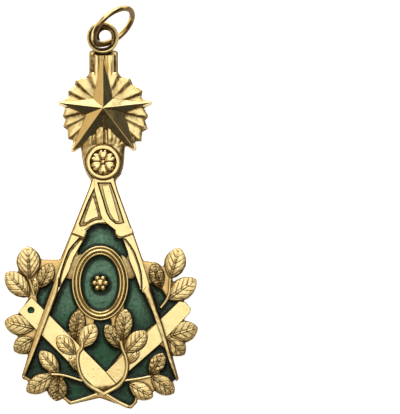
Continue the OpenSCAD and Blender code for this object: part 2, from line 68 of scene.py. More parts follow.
class Bench:
    """The modelling bench: meshes are drawn in millimetres, on the plate's own back face.

    Attributes:
        BLOCK_WELD: how near two corners of a block are made one.
        SHEET_WELD: the same for a surface.
        NODE_WELD: the same for a CAD node.
        SUNK: how far under a face the floors of its pockets lie at least.
        WALL: the rise of a normal below which a face is a wall.
        SIDE_SHADE_FROM: the heights between which painted shade on steep sides sets in.
        SIDE_SHADE_SLOPES: the rise of a normal at which that painted shade begins and is full.
    """

    BLOCK_WELD = 0.0008
    SHEET_WELD = 0.002
    NODE_WELD = 0.0005
    SUNK = 0.15
    WALL = 0.90
    SIDE_SHADE_FROM = (0.6, 1.3)
    SIDE_SHADE_SLOPES = (0.62, 0.22)

    @staticmethod
    def clear() -> None:
        """Leaves edit mode and deselects everything."""
        if bpy.context.object is not None and bpy.context.object.mode != "OBJECT":
            bpy.ops.object.mode_set(mode="OBJECT")
        bpy.ops.object.select_all(action="DESELECT")

    @staticmethod
    def hold(piece: Piece) -> None:
        """Makes one piece the only selected and active one.

        Args:
            piece: the piece to work on.
        """
        Bench.clear()
        piece.select_set(True)
        bpy.context.view_layer.objects.active = piece

    @staticmethod
    @contextmanager
    def editing(piece: Piece, pick: Optional[Callable[[Array], bool]] = None) -> Iterator[None]:
        """Opens a piece in edit mode with all of it, or its picked faces, selected.

        Args:
            piece: the piece to edit.
            pick: says of a face's corners whether it is selected.
        """
        Bench.hold(piece)
        bpy.ops.object.mode_set(mode="EDIT")
        bpy.ops.mesh.select_mode(type="FACE" if pick else "VERT")
        bpy.ops.mesh.select_all(action="DESELECT" if pick else "SELECT")
        if pick:
            mesh = bmesh.from_edit_mesh(piece.data)
            for face in mesh.faces:
                face.select_set(bool(pick(np.array([v.co for v in face.verts]))))
            bmesh.update_edit_mesh(piece.data)
        yield
        bpy.ops.object.mode_set(mode="OBJECT")

    @staticmethod
    def named(name: str) -> Piece:
        """Names the piece that was just added.

        Args:
            name: its plain name.

        Returns:
            The active object.
        """
        piece = bpy.context.object
        piece.name = name
        piece.data.name = name
        return piece

    @staticmethod
    def corners(piece: Piece, what: str = "co") -> Array:
        """Reads the corners of a piece.

        Args:
            piece: the piece to read.
            what: "co" for their places, "normal" for the way that they face.

        Returns:
            One row of x, y and z for each corner.
        """
        rows = np.empty(len(piece.data.vertices) * 3)
        piece.data.vertices.foreach_get(what, rows)
        return rows.reshape(-1, 3)

    @staticmethod
    def move_corners(piece: Piece, places: Array) -> None:
        """Moves every corner of a piece to its row of x, y and z."""
        piece.data.vertices.foreach_set("co", np.asarray(places, float).ravel())
        piece.data.update()

    @staticmethod
    def outward(piece: Piece) -> None:
        """Turns every face of a closed piece outwards.

        Args:
            piece: the piece to put right.
        """
        with Bench.editing(piece):
            bpy.ops.mesh.remove_doubles(threshold=Bench.BLOCK_WELD)
            bpy.ops.mesh.normals_make_consistent(inside=False)

    @staticmethod
    def modify(piece: Piece, kind: str, **settings: object) -> None:
        """Adds a modifier, sets it and applies it.

        Args:
            piece: the piece to change.
            kind: the modifier's type.
            **settings: its settings by name.
        """
        Bench.hold(piece)
        bpy.ops.object.modifier_add(type=kind)
        modifier = piece.modifiers[-1]
        for name, value in settings.items():
            setattr(modifier, name, value)
        bpy.ops.object.modifier_apply(modifier=modifier.name)

    @staticmethod
    def bevel(piece: Piece, width: float, segments: int = 2, angle: float = 35) -> None:
        """Rounds edges sharper than an angle in degrees, in a number of segments."""
        Bench.modify(piece, "BEVEL", width=width, segments=segments, limit_method="ANGLE",
                     angle_limit=math.radians(angle))

    @staticmethod
    def prism(name: str, points: Outline, foot: float, top: float, edge: float = 0.15,
              segments: int = 2, flare: float = 0.0) -> Piece:
        """An upright block with the given outline and rounded edges.

        Args:
            name: the piece's name.
            points: the corners of its outline in turn.
            foot: the height of its underside.
            top: the height of its top.
            edge: the reach of the rounding of its edges.
            segments: the steps in that rounding.
            flare: how much wider all round the top is than the foot.

        Returns:
            The new piece.
        """
        Bench.clear()
        bpy.ops.mesh.primitive_circle_add(vertices=len(points), radius=1, fill_type="NGON")
        piece = Bench.named(name)
        Bench.move_corners(piece, np.array([(x, y, foot) for x, y in points]))
        with Bench.editing(piece):
            bpy.ops.mesh.extrude_region_move(TRANSFORM_OT_translate={"value": (0, 0, top - foot)})
        if flare:
            Bench.resettle(piece, points, grown(points, flare), (foot + top) / 2)
        Bench.outward(piece)
        if edge:
            Bench.bevel(piece, edge, segments)
        return piece

    @staticmethod
    def resettle(piece: Piece, points: Outline, moved: Outline, above: float) -> None:
        """Moves the upper corners of a piece from one outline to another.

        Args:
            piece: the piece to shape.
            points: the outline that its corners stand on.
            moved: the same corners' new places.
            above: the level above which corners move.
        """
        places = Bench.corners(piece)
        for place in places:
            if place[2] > above:
                away = [math.hypot(x - place[0], y - place[1]) for x, y in points]
                place[:2] = moved[int(np.argmin(away))]
        Bench.move_corners(piece, places)

    @staticmethod
    def stain_and_shade(piece: Piece, shares: Array | float) -> None:
        """Stores how far each corner of a piece is darkened: mostly painted shade, in places real
        stains.

        Args:
            piece: the piece.
            shares: a share for each corner, or one for all, from 0 to BLACK.
        """
        layer = piece.data.attributes.new("stain_and_shade", "FLOAT", "POINT")
        every = np.zeros(len(piece.data.vertices)) + shares
        layer.data.foreach_set("value", np.clip(every, 0, BLACK).astype(np.float32))

    @staticmethod
    def paint_shade_faces(piece: Piece, top: float, floor: float) -> None:
        """Paints black shade on the walls of a piece, and lighter painted shade on the floors of
        its pockets.

        Args:
            piece: the piece.
            top: the height of its face.
            floor: how dark the painted shade on its pockets' floors is.
        """
        layer = piece.data.attributes.new("stain_and_shade", "FLOAT", "FACE")
        for face, value in zip(piece.data.polygons, layer.data):
            sunk = face.center.z < top - Bench.SUNK
            value.value = BLACK if abs(face.normal.z) < Bench.WALL else floor * sunk

    @staticmethod
    def shade_steep_sides(piece: Piece, share: float) -> None:
        """Paints shade on the steep sides of a piece, unless its faces already carry painted shade.

        Args:
            piece: the piece.
            share: how dark the painted shade on its upright sides is.
        """
        layer = piece.data.attributes.get("stain_and_shade")
        if layer is not None and layer.domain != "POINT":
            return
        stains = np.zeros(len(piece.data.vertices))
        if layer is not None:
            layer.data.foreach_get("value", stains)
            piece.data.attributes.remove(layer)
        above = smooth_step(*Bench.SIDE_SHADE_FROM, Bench.corners(piece)[:, 2])
        steep = smooth_step(*Bench.SIDE_SHADE_SLOPES, np.abs(Bench.corners(piece, "normal")[:, 2]))
        Bench.stain_and_shade(piece, stains + share * steep * above)

    @staticmethod
    def rings(name: str, steps: int, rows: list[Triple]) -> Piece:
        """A closed ring built from its section, each round extruded from the last and scaled.

        Args:
            name: the piece's name.
            steps: the number of corners in a round.
            rows: half-width, half-height and level of each round.

        Returns:
            The new piece.
        """
        Bench.clear()
        bpy.ops.mesh.primitive_circle_add(vertices=steps, radius=1, fill_type="NOTHING")
        piece = Bench.named(name)
        rx, ry, level = rows[0]
        Bench.move_corners(piece, Bench.corners(piece) * (rx, ry, 0) + (0, 0, level))
        with Bench.editing(piece):
            for wide, high, z in rows[1:] + rows[:1]:
                bpy.ops.mesh.extrude_region_move(
                    TRANSFORM_OT_translate={"value": (0, 0, z - level)})
                bpy.ops.transform.resize(value=(wide / rx, high / ry, 1), center_override=(0, 0, z))
                rx, ry, level = wide, high, z
        Bench.outward(piece)
        return piece

    @staticmethod
    def relief(name: str, along: int, across: int, foot: float,
               shape: Callable[[Array, Array], Places]) -> Piece:
        """A block with a shaped top: a grid moved to a surface, its rim run down and closed.

        Args:
            name: the piece's name.
            along: its number of faces along u.
            across: its number of faces along v.
            foot: the level of its underside.
            shape: gives x, y and z for u from 0 to 1 and v from -1 to 1.

        Returns:
            The new piece.
        """
        Bench.clear()
        bpy.ops.mesh.primitive_grid_add(x_subdivisions=along, y_subdivisions=across, size=2)
        piece = Bench.named(name)
        u, v, _ = Bench.corners(piece).T
        Bench.move_corners(piece, np.column_stack(shape((u + 1) / 2, v)))
        with Bench.editing(piece):
            bpy.ops.mesh.remove_doubles(threshold=Bench.SHEET_WELD)
            bpy.ops.mesh.region_to_loop()
            bpy.ops.mesh.extrude_region_move(TRANSFORM_OT_translate={"value": (0, 0, -0.2)})
            bpy.ops.transform.resize(value=(1, 1, 0), center_override=(0, 0, foot))
            bpy.ops.mesh.edge_face_add()
            bpy.ops.mesh.select_all(action="SELECT")
            bpy.ops.mesh.normals_make_consistent(inside=False)
        return piece

    @staticmethod
    def ball(name: str, segments: int, rows: int, radius: float = 1, size: Triple = (1, 1, 1),
             place: Triple = (0, 0, 0)) -> Piece:
        """A ball, or a stretched one.

        Args:
            name: the piece's name.
            segments: its number of faces round.
            rows: its number of faces from pole to pole.
            radius: its radius before it is stretched.
            size: its stretch along each axis.
            place: its middle.

        Returns:
            The new piece.
        """
        Bench.clear()
        bpy.ops.mesh.primitive_uv_sphere_add(segments=segments, ring_count=rows, radius=radius)
        piece = Bench.named(name)
        Bench.move_corners(piece, Bench.corners(piece) * size + place)
        return piece

    @staticmethod
    def carve(piece: Piece, cutter: Piece) -> None:
        """Cuts one closed piece out of another, and removes the cutter."""
        Bench.modify(piece, "BOOLEAN", operation="DIFFERENCE", solver="EXACT", object=cutter)
        bpy.data.objects.remove(cutter)

    @staticmethod
    def join(name: str, pieces: Sequence[Piece]) -> Piece:
        """Makes several pieces one.

        Args:
            name: the new piece's name.
            pieces: what it is made of.

        Returns:
            The joined piece.
        """
        Bench.hold(pieces[0])
        for piece in pieces:
            piece.select_set(True)
        if len(pieces) > 1:
            bpy.ops.object.join()
        return Bench.named(name)

    @staticmethod
    def tube(name: str, points: Sequence[Triple], radius: float, round_steps: int = 4,
             path_steps: int = 8) -> Piece:
        """A rounded bar along a smooth path.

        Args:
            name: the piece's name.
            points: the path's points.
            radius: the bar's radius.
            round_steps: the fineness of its section.
            path_steps: the number of steps from point to point.

        Returns:
            The new piece.
        """
        Bench.clear()
        bpy.ops.curve.primitive_bezier_curve_add()
        path = bpy.context.object.data
        spline = path.splines[0]
        spline.bezier_points.add(len(points) - len(spline.bezier_points))
        for knot, place in zip(spline.bezier_points, points):
            knot.co = place
            knot.radius = radius
            knot.handle_left_type = knot.handle_right_type = "AUTO"
        path.bevel_depth = 1
        path.bevel_resolution = round_steps
        path.resolution_u = path_steps
        path.use_fill_caps = True
        bpy.ops.object.convert(target="MESH")
        return Bench.named(name)

    @staticmethod
    def copy_of_node(node: str, name: str) -> Piece:
        """A copy of a CAD node, in millimetres, with its triangles joined up.

        Args:
            node: the CAD node.
            name: the copy's name.

        Returns:
            The copy.
        """
        Bench.hold(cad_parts[node])
        bpy.ops.object.duplicate()
        piece = Bench.named(name)
        piece.parent = None
        for key in list(piece.keys()):
            del piece[key]
        piece.data.materials.clear()
        piece.data.transform(Matrix.Scale(1 / MM, 4))
        with Bench.editing(piece):
            bpy.ops.mesh.remove_doubles(threshold=Bench.NODE_WELD)
        return piece


def smooth_step(low: float, high: float, x: Array) -> Array:
    """A soft step from 0 at low to 1 at high, read at each x."""
    t = np.clip((x - low) / (high - low), 0, 1)
    return t * t * (3 - 2 * t)


def fade(row: Fade, x: Array) -> Array:
    """A share that sets in softly, read at each x."""
    share, begin, full = row
    return share * smooth_step(begin, full, x)


def ripple(x: Array, y: Array, length: float, seed: int, waves: int = 7) -> Array:
    """A smooth random surface made of crossing waves.

    Args:
        x: places to the right.
        y: places towards the eye.
        length: the wave length in millimetres.
        seed: the seed of the waves' directions.
        waves: how many there are.

    Returns:
        The surface's height, from about -1 to 1.
    """
    draw = np.random.default_rng(seed)
    total = np.zeros_like(x)
    for _ in range(waves):
        angle, phase = draw.uniform(0, 2 * math.pi, 2)
        k = 2 * math.pi / (length * draw.uniform(0.6, 1.6))
        total += np.sin(k * (x * math.cos(angle) + y * math.sin(angle)) + phase)
    return total / math.sqrt(waves)


def grown(points: Outline, reach: float) -> list[Point]:
    """An outline moved outwards all round.

    Args:
        points: its corners in turn.
        reach: how far it moves, negative for inwards.

    Returns:
        The moved corners.
    """
    loop = [Vector(p) for p in points]
    area = sum(a.x * b.y - b.x * a.y for a, b in zip(loop, loop[1:] + loop[:1]))
    side = 1 if area > 0 else -1
    moved = []
    for i, corner in enumerate(loop):
        before = (corner - loop[i - 1]).normalized()
        after = (loop[(i + 1) % len(loop)] - corner).normalized()
        normal_a = Vector((before.y, -before.x)) * side
        normal_b = Vector((after.y, -after.x)) * side
        middle = (normal_a + normal_b).normalized()
        moved.append(tuple(corner + middle * reach / max(middle.dot(normal_a), 0.35)))
    return moved


# Finishes


class Graph:
    """A material's node graph, built a node at a time."""

    def __init__(self, name: str) -> None:
        """Starts an empty material.

        Args:
            name: the material's name.
        """
        self.material = bpy.data.materials.new(name)
        self.material.use_nodes = True
        self.tree = self.material.node_tree
        self.tree.nodes.clear()

    def feed(self, socket: Socket, value: object) -> None:
        """Links a socket, or sets its value.

        Args:
            socket: the socket to feed.
            value: the socket to link it to, or its value, a colour as red, green and blue.
        """
        if isinstance(value, Socket):
            self.tree.links.new(value, socket)
        else:
            socket.default_value = (*value, 1) if socket.type == "RGBA" else value

    def add(self, kind: str, inputs: Optional[dict] = None, **settings: object) -> bpy.types.Node:
        """Adds a node.

        Args:
            kind: its type, without the ShaderNode that starts it.
            inputs: a value or a socket to link for each input.
            **settings: the node's own settings.

        Returns:
            The new node.
        """
        node = self.tree.nodes.new("ShaderNode" + kind)
        for name, value in settings.items():
            setattr(node, name, value)
        for name, value in (inputs or {}).items():
            self.feed(node.inputs[name], value)
        return node

    def place(self, scale: Sequence[float] = (1, 1, 1), turn: float = 0) -> Socket:
        """The piece's own coordinates, stretched and turned.

        Args:
            scale: how far they are stretched along each axis.
            turn: how far they are turned about Z, in degrees.

        Returns:
            The coordinates' socket.
        """
        source = self.add("TexCoord").outputs["Object"]
        return self.add("Mapping", {"Vector": source, "Scale": scale,
                                    "Rotation": (0, 0, math.radians(turn))}).outputs["Vector"]

    def noise(self, size_mm: float, detail: float = 3, rough: float = 0.55,
              place: Optional[Socket] = None) -> Socket:
        """A noise: its grain in mm, finer layers, their strength and what it reads."""
        return self.add("TexNoise", {"Vector": place or self.place(), "Scale": 1 / (size_mm * MM),
                                     "Detail": detail, "Roughness": rough}).outputs["Fac"]

    def ramp(self, value: Socket, stops: Sequence[Point]) -> Socket:
        """Maps a value by straight steps.

        Args:
            value: what is mapped.
            stops: each stop's place and its grey value.

        Returns:
            The mapped value.
        """
        node = self.add("ValToRGB", {"Fac": value})
        ramp = node.color_ramp
        while len(ramp.elements) < len(stops):
            ramp.elements.new(0.5)
        for element, (at, grey) in zip(ramp.elements, stops):
            element.position = at
            element.color = (grey, grey, grey, 1)
        return node.outputs["Color"]

    def sum(self, a: Socket, b: object, how: str = "ADD") -> Socket:
        """Combines two values, the second a socket or a number, as a Math node does."""
        return self.add("Math", {0: a, 1: b}, operation=how).outputs[0]

    def times(self, a: Socket, b: object) -> Socket:
        """Multiplies two values, the second a socket or a number."""
        return self.sum(a, b, "MULTIPLY")

    def mix(self, share: Socket, a: object, b: object) -> Socket:
        """Mixes a share of the second colour into the first, each a socket or a colour."""
        return self.add("Mix", {0: share, 6: a, 7: b}, data_type="RGBA").outputs[2]

    def bump(self, height: Socket, depth_mm: float, strength: float,
             under: Optional[Socket] = None) -> Socket:
        """Presses a pattern into the surface.

        Args:
            height: the pattern.
            depth_mm: its depth in millimetres.
            strength: how strongly it shows.
            under: the surface that it lies on, where that is bumped too.

        Returns:
            The new surface.
        """
        inputs = {"Height": height, "Distance": depth_mm * MM, "Strength": strength}
        if under is not None:
            inputs["Normal"] = under
        return self.add("Bump", inputs).outputs["Normal"]

    def finish(self, shader: bpy.types.Node) -> Material:
        """Ends the graph at the surface's shader."""
        self.add("OutputMaterial", {"Surface": shader.outputs[0]})
        return self.material


@dataclass(frozen=True)
class Cloud:
    """A noise mapped by straight steps.

    Attributes:
        size_mm: the size of its grain in millimetres.
        detail: its number of finer layers.
        stops: each stop's place and its grey value.
        rough: how strong the finer layers are.
    """

    size_mm: float
    detail: float
    stops: tuple[Point, ...]
    rough: float = 0.55

    def on(self, graph: Graph, place: Optional[Socket] = None) -> Socket:
        """Its value in a graph, at the piece's own or other coordinates."""
        return graph.ramp(graph.noise(self.size_mm, self.detail, self.rough, place), self.stops)


class Texture(Enum):
    """The texture that a metal surface was cast or struck with."""

    PLAIN = "plain"
    PEBBLED = "pebbled"
    SCRATCHED = "scratched"


@dataclass(frozen=True)
class GoldFinish:
    """Gilt metal with worn high places and brown tarnish in the hollows.

    Attributes:
        name: the material's name.
        texture: the surface's texture.
        bright: the clean metal's colour.
        warm: the colour of its thinner gilding.
        tarnish_and_shade: the brown of tarnished metal and of painted shade, in the hollows and
            stored shaded places.
        roughness: the clean metal's roughness.
        hollow_mm: how far the tarnish reaches out of a hollow.
        pits: how many casting pits show, from 0 to 1.
        waves: how uneven its broad faces are from polishing by hand.
        HOLLOWS: how openness maps to tarnish.
        PATCHES: where the gilding is thin, and WORN how thin it gets.
        GRAIN: how the tarnished and painted shaded hollows break up.
        SPOTS: how the stored stains and painted shade break up.
        DARKEST: the most that the brown of tarnished metal and painted shade covers.
        ROUGH: the grain and layers of uneven roughness, and its range.
        DARKENED_ROUGH: how much rougher the tarnished and shaded places are.
        DENTS: the grain, layers and depth of dents, BROAD of waves and FINE of the cast skin.
        DENTED: how strongly dents and skin show.
        PEBBLES: the grain, depth and strength of the pebbles.
        CRUMBS: the grain, layers, depth and strength of what lies between them.
        SCRATCHES: the scratches' pattern, STRETCH its stretch, and CUTS turns and strengths.
    """

    name: str
    texture: Texture = Texture.PLAIN
    bright: Colour = (0.94, 0.77, 0.37)
    warm: Colour = (0.90, 0.64, 0.25)
    tarnish_and_shade: Colour = (0.115, 0.052, 0.008)
    roughness: float = 0.22
    hollow_mm: float = 0.7
    pits: float = 0.5
    waves: float = 0.0
    HOLLOWS = ((0.25, 1), (0.80, 0))
    PATCHES = Cloud(3.2, 4, ((0.38, 0), (0.68, 1)))
    WORN = 0.55
    GRAIN = Cloud(0.45, 3, ((0.3, 0.75), (0.6, 1.15)))
    SPOTS = Cloud(0.7, 3, ((0.36, 0.70), (0.58, 1.25)))
    DARKEST = 0.94
    ROUGH = (1.1, 4, 0.16)
    DARKENED_ROUGH = 0.20
    DENTS = (1.3, 2, 0.04)
    BROAD = (3.4, 1, 0.30)
    FINE = (0.22, 2, 0.010)
    DENTED = 0.30
    PEBBLES = (0.42, 0.08, 0.34)
    CRUMBS = (0.30, 3, 0.04, 0.34)
    SCRATCHES = Cloud(1.0, 2, ((0.60, 1), (0.66, 0)), 0.5)
    STRETCH = (0.07, 3.2, 1)
    CUTS = ((8, 0.5), (-63, 0.35), (71, 0.3))

    def material(self) -> Material:
        """Builds the finish's material.

        Returns:
            The material.
        """
        g = Graph(self.name)
        # Hollows tarnished and darkened with painted shade by ambient occlusion, plus the stored
        # stains and painted shade.
        hollow = g.add("AmbientOcclusion", {"Distance": self.hollow_mm * MM}, samples=8)
        tarnish_and_shade_share = g.times(g.ramp(hollow.outputs["AO"], self.HOLLOWS), self.GRAIN.on(g))
        stain_and_shade = g.add("Attribute", attribute_name="stain_and_shade").outputs["Fac"]
        tarnish_and_shade_share = g.sum(tarnish_and_shade_share, g.times(stain_and_shade, self.SPOTS.on(g)))
        tarnish_and_shade_share = g.add("Clamp", {"Value": tarnish_and_shade_share}).outputs[0]
        colour = g.mix(g.times(self.PATCHES.on(g), self.WORN), self.bright, self.warm)
        colour = g.mix(g.times(tarnish_and_shade_share, self.DARKEST), colour, self.tarnish_and_shade)
        size, detail, span = self.ROUGH
        rough = g.sum(g.times(g.noise(size, detail), span), self.roughness - span / 2)
        rough = g.sum(rough, g.times(tarnish_and_shade_share, self.DARKENED_ROUGH))
        surface = None
        for (size, detail, depth), strength in (
                (self.DENTS, self.DENTED), (self.BROAD, self.waves), (self.FINE, self.DENTED)):
            if strength:
                surface = g.bump(g.noise(size, detail), depth, strength, surface)
        if self.pits:
            pit = Cloud(0.50, 1, ((0.735 - 0.04 * self.pits, 1), (0.78, 0)), 0.4).on(g)
            surface = g.bump(pit, 0.05, 0.6, surface)
        if self.texture is Texture.PEBBLED:
            size, depth, strength = self.PEBBLES
            cells = g.add("TexVoronoi", {"Vector": g.place(), "Scale": 1 / (size * MM)},
                          feature="SMOOTH_F1").outputs["Distance"]
            surface = g.bump(g.times(cells, -1), depth, strength, surface)
            size, detail, depth, strength = self.CRUMBS
            surface = g.bump(g.noise(size, detail), depth, strength, surface)
        if self.texture is Texture.SCRATCHED:
            for turn, strength in self.CUTS:
                lines = self.SCRATCHES.on(g, g.place(self.STRETCH, turn))
                surface = g.bump(lines, 0.02, strength, surface)
        return g.finish(g.add("BsdfPrincipled", {
            "Base Color": colour, "Metallic": 1.0, "Roughness": rough, "Normal": surface}))


@dataclass(frozen=True)
class EnamelFinish:
    """Deep green fired enamel under its own gloss, with a painted sheen and painted shade beside
    the metal.

    Attributes:
        name: the material's name.
        deep: the colour of the thick glass.
        light: the colour where it is thin or crystalline.
        painted_sheen: the colour of its painted sheen, a painted reflection of the lights.
        dark: the colour of the painted shade beside the metal.
        roughness: the roughness of its surface.
        border: how dark the painted shade beside the metal is, from 0 to 1.
        SHEEN_FROM: the y between which the painted sheen sets in, and SHEEN_LEAST its least.
        NEARNESS_MM: how far a wall makes itself felt.
        OPEN: how openness maps to the sheen.
        SHADED: the openness at which the dark border is full and ends.
        CLOUDS: where the glass is light, and CLOUDY how light it gets.
        MOTTLE: how the sheen breaks up.
        WALL: how dark the stored painted shadow along the walls is.
        SKIN: the grain, layers, depth and strength of the surface's unevenness.
        GLINTS: the same for its gloss, with how strong the finer layers are.
    """

    name: str = "green_enamel"
    deep: Colour = (0.002, 0.052, 0.016)
    light: Colour = (0.010, 0.120, 0.036)
    painted_sheen: Colour = (0.215, 0.440, 0.300)
    dark: Colour = (0.001, 0.012, 0.004)
    roughness: float = 0.16
    border: float = 1.0
    SHEEN_FROM = (-24, -17)
    SHEEN_LEAST = 0.10
    NEARNESS_MM = 2.7
    OPEN = ((0.82, 0), (0.93, 1))
    SHADED = (0.74, 0.90)
    CLOUDS = Cloud(1.1, 4, ((0.42, 0), (0.60, 1)), 0.65)
    CLOUDY = 0.8
    MOTTLE = Cloud(0.6, 4, ((0.34, 0.30), (0.60, 1)), 0.7)
    WALL = 0.92
    SKIN = (0.9, 3, 0.05, 0.5)
    GLINTS = (0.55, 3, 0.16, 1.0, 0.6)

    def material(self) -> Material:
        """Builds the finish's material.

        Returns:
            The material.
        """
        g = Graph(self.name)
        place = g.add("SeparateXYZ", {"Vector": g.add("TexCoord").outputs["Object"]})
        south, north = self.SHEEN_FROM
        upper = g.add("MapRange", {"Value": place.outputs["Y"], "From Min": south * MM,
                                   "From Max": north * MM, "To Min": self.SHEEN_LEAST}).outputs[0]
        edge = g.add("AmbientOcclusion", {"Distance": self.NEARNESS_MM * MM},
                     samples=8).outputs["AO"]
        colour = g.mix(g.times(self.CLOUDS.on(g), self.CLOUDY), self.deep, self.light)
        # Painted sheen: a reflection painted onto the upper cells, away from the walls.
        sheen = g.times(g.times(upper, g.ramp(edge, self.OPEN)), self.MOTTLE.on(g))
        colour = g.mix(sheen, colour, self.painted_sheen)
        # Painted shade beside the metal: from ambient occlusion and the stored painted shadow.
        wall = g.times(g.add("Attribute", attribute_name="stain_and_shade").outputs["Fac"],
                       self.border * self.WALL)
        full, end = self.SHADED
        border = g.sum(g.ramp(edge, [(full, self.border), (end, 0)]), wall, "MAXIMUM")
        colour = g.mix(border, colour, self.dark)
        size, detail, depth, strength = self.SKIN
        surface = g.bump(g.noise(size, detail), depth, strength)
        size, detail, depth, strength, rough = self.GLINTS
        glints = g.bump(g.noise(size, detail, rough), depth, strength)
        return g.finish(g.add("BsdfPrincipled", {
            "Base Color": colour, "Roughness": self.roughness, "Normal": surface,
            "Specular IOR Level": 0.08, "Coat Weight": 0.34, "Coat Roughness": 0.05,
            "Coat IOR": 1.5, "Coat Normal": glints}))


class Slot(Enum):
    """The record's material slots."""

    METAL = "gilt_metal"
    WIRE = "gilt_wire"
    ENAMEL = "green_enamel"


class Finishes:
    """Every finish of the medal, made once."""

    def __init__(self) -> None:
        """Builds the materials."""
        self.gold = GoldFinish("gilt_cast", roughness=0.26).material()
        self.polished = GoldFinish("gilt_polished", roughness=0.16, pits=0,
                                   hollow_mm=0.5).material()
        self.faceted = GoldFinish("gilt_faceted", roughness=0.18, pits=0, hollow_mm=0.5,
                                  waves=0.45).material()
        self.satin = GoldFinish("gilt_satin", roughness=0.30, pits=0).material()
        self.pebbled = GoldFinish("gilt_pebbled", Texture.PEBBLED, roughness=0.26).material()
        self.back = GoldFinish("gilt_back", Texture.SCRATCHED, roughness=0.32,
                               pits=1.0).material()
        # Darker gilt for the plate's ground; its long hollow reach spreads tarnished colour and
        # painted shade from the relief across it.
        self.ground = GoldFinish("gilt_ground", Texture.PEBBLED, bright=(0.86, 0.62, 0.25),
                                 warm=(0.72, 0.42, 0.13), roughness=0.30,
                                 hollow_mm=1.6).material()
        self.enamel = EnamelFinish().material()
        self.speck = EnamelFinish("green_enamel_speck", light=(0.03, 0.26, 0.09),
                                  border=0.15).material()


@dataclass
class Workshop:
    """What every sub-assembly shares: the finishes, and the way out into the frame."""

    finishes: Finishes
    side_shading: float = 0.85

    def deliver(self, piece: Piece, *materials: Material, nodes: Sequence[str] = (),
                second: Optional[Callable[[bpy.types.MeshPolygon], bool]] = None,
                slot: Slot = Slot.METAL, angle: float = 32, flat: bool = False) -> None:
        """Shades a finished piece, lays it in the frame and lets it ride.

        Args:
            piece: the piece, in the plate's own millimetres.
            *materials: its finish, or its two finishes.
            nodes: the CAD nodes that it stands for.
            second: says of a face whether it has the second finish.
            slot: the record's slot that the finish stands for.
            angle: the least angle that stays a sharp edge, in degrees.
            flat: whether its broad faces are shaded flat beside rounded edges.
        """
        # Painted shade on the steep sides of every metal piece.
        if slot is not Slot.ENAMEL:
            Bench.shade_steep_sides(piece, self.side_shading)
        Bench.hold(piece)
        for material in materials:
            piece.data.materials.append(material)
        for face in piece.data.polygons if second else ():
            face.material_index = int(second(face))
        bpy.ops.object.shade_smooth_by_angle(angle=math.radians(angle))
        if flat:
            Bench.modify(piece, "WEIGHTED_NORMAL", keep_sharp=True, weight=100)
        piece.scale = (MM, MM, MM)
        bpy.ops.object.transform_apply(location=True, rotation=True, scale=True)
        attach(piece, BODY)
        if nodes:
            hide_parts(*nodes)
        triangles = sum(len(face.vertices) - 2 for face in piece.data.polygons)
        LOG.info("%s: %d triangles", piece.name, triangles)


@dataclass
class Part:
    """A sub-assembly: it holds its sizes, and shares the workshop."""

    shop: Workshop


# Plate, eye and neck


@dataclass
class BackPlate(Part):
    """The flat plate with its sunk cells, softened as a casting is."""

    cut_height: float = 2.04
    grain: float = 0.21
    smoothing: int = 3
    softness: float = 0.5
    kept_share: float = 0.42
    faces_up: float = 0.2
    wall_shade: Fade = (1.3, 0.92, 0.60)
    shade_from: Point = (1.1, 1.5)

    def build(self) -> None:
        """Cuts the relief off the CAD casting and softens what is left."""
        plate = Bench.copy_of_node("plaque", "plate")
        with Bench.editing(plate):
            bpy.ops.mesh.bisect(plane_co=(0, 0, self.cut_height), plane_no=(0, 0, 1),
                                use_fill=True, clear_outer=True)
        Bench.modify(plate, "REMESH", mode="VOXEL", voxel_size=self.grain)
        Bench.modify(plate, "SMOOTH", factor=self.softness, iterations=self.smoothing)
        places = Bench.corners(plate)
        places[:, 2] = np.maximum(places[:, 2], 0)
        Bench.move_corners(plate, places)
        Bench.modify(plate, "DECIMATE", ratio=self.kept_share)
        rise, z = Bench.corners(plate, "normal")[:, 2], Bench.corners(plate)[:, 2]
        # Painted shade on the plate's steep walls above its lower part.
        Bench.stain_and_shade(plate, fade(self.wall_shade, rise) * smooth_step(*self.shade_from, z))
        finishes = self.shop.finishes
        self.shop.deliver(plate, finishes.back, finishes.ground, nodes=("plaque",), angle=60,
                          second=lambda face: face.normal.z > self.faces_up)


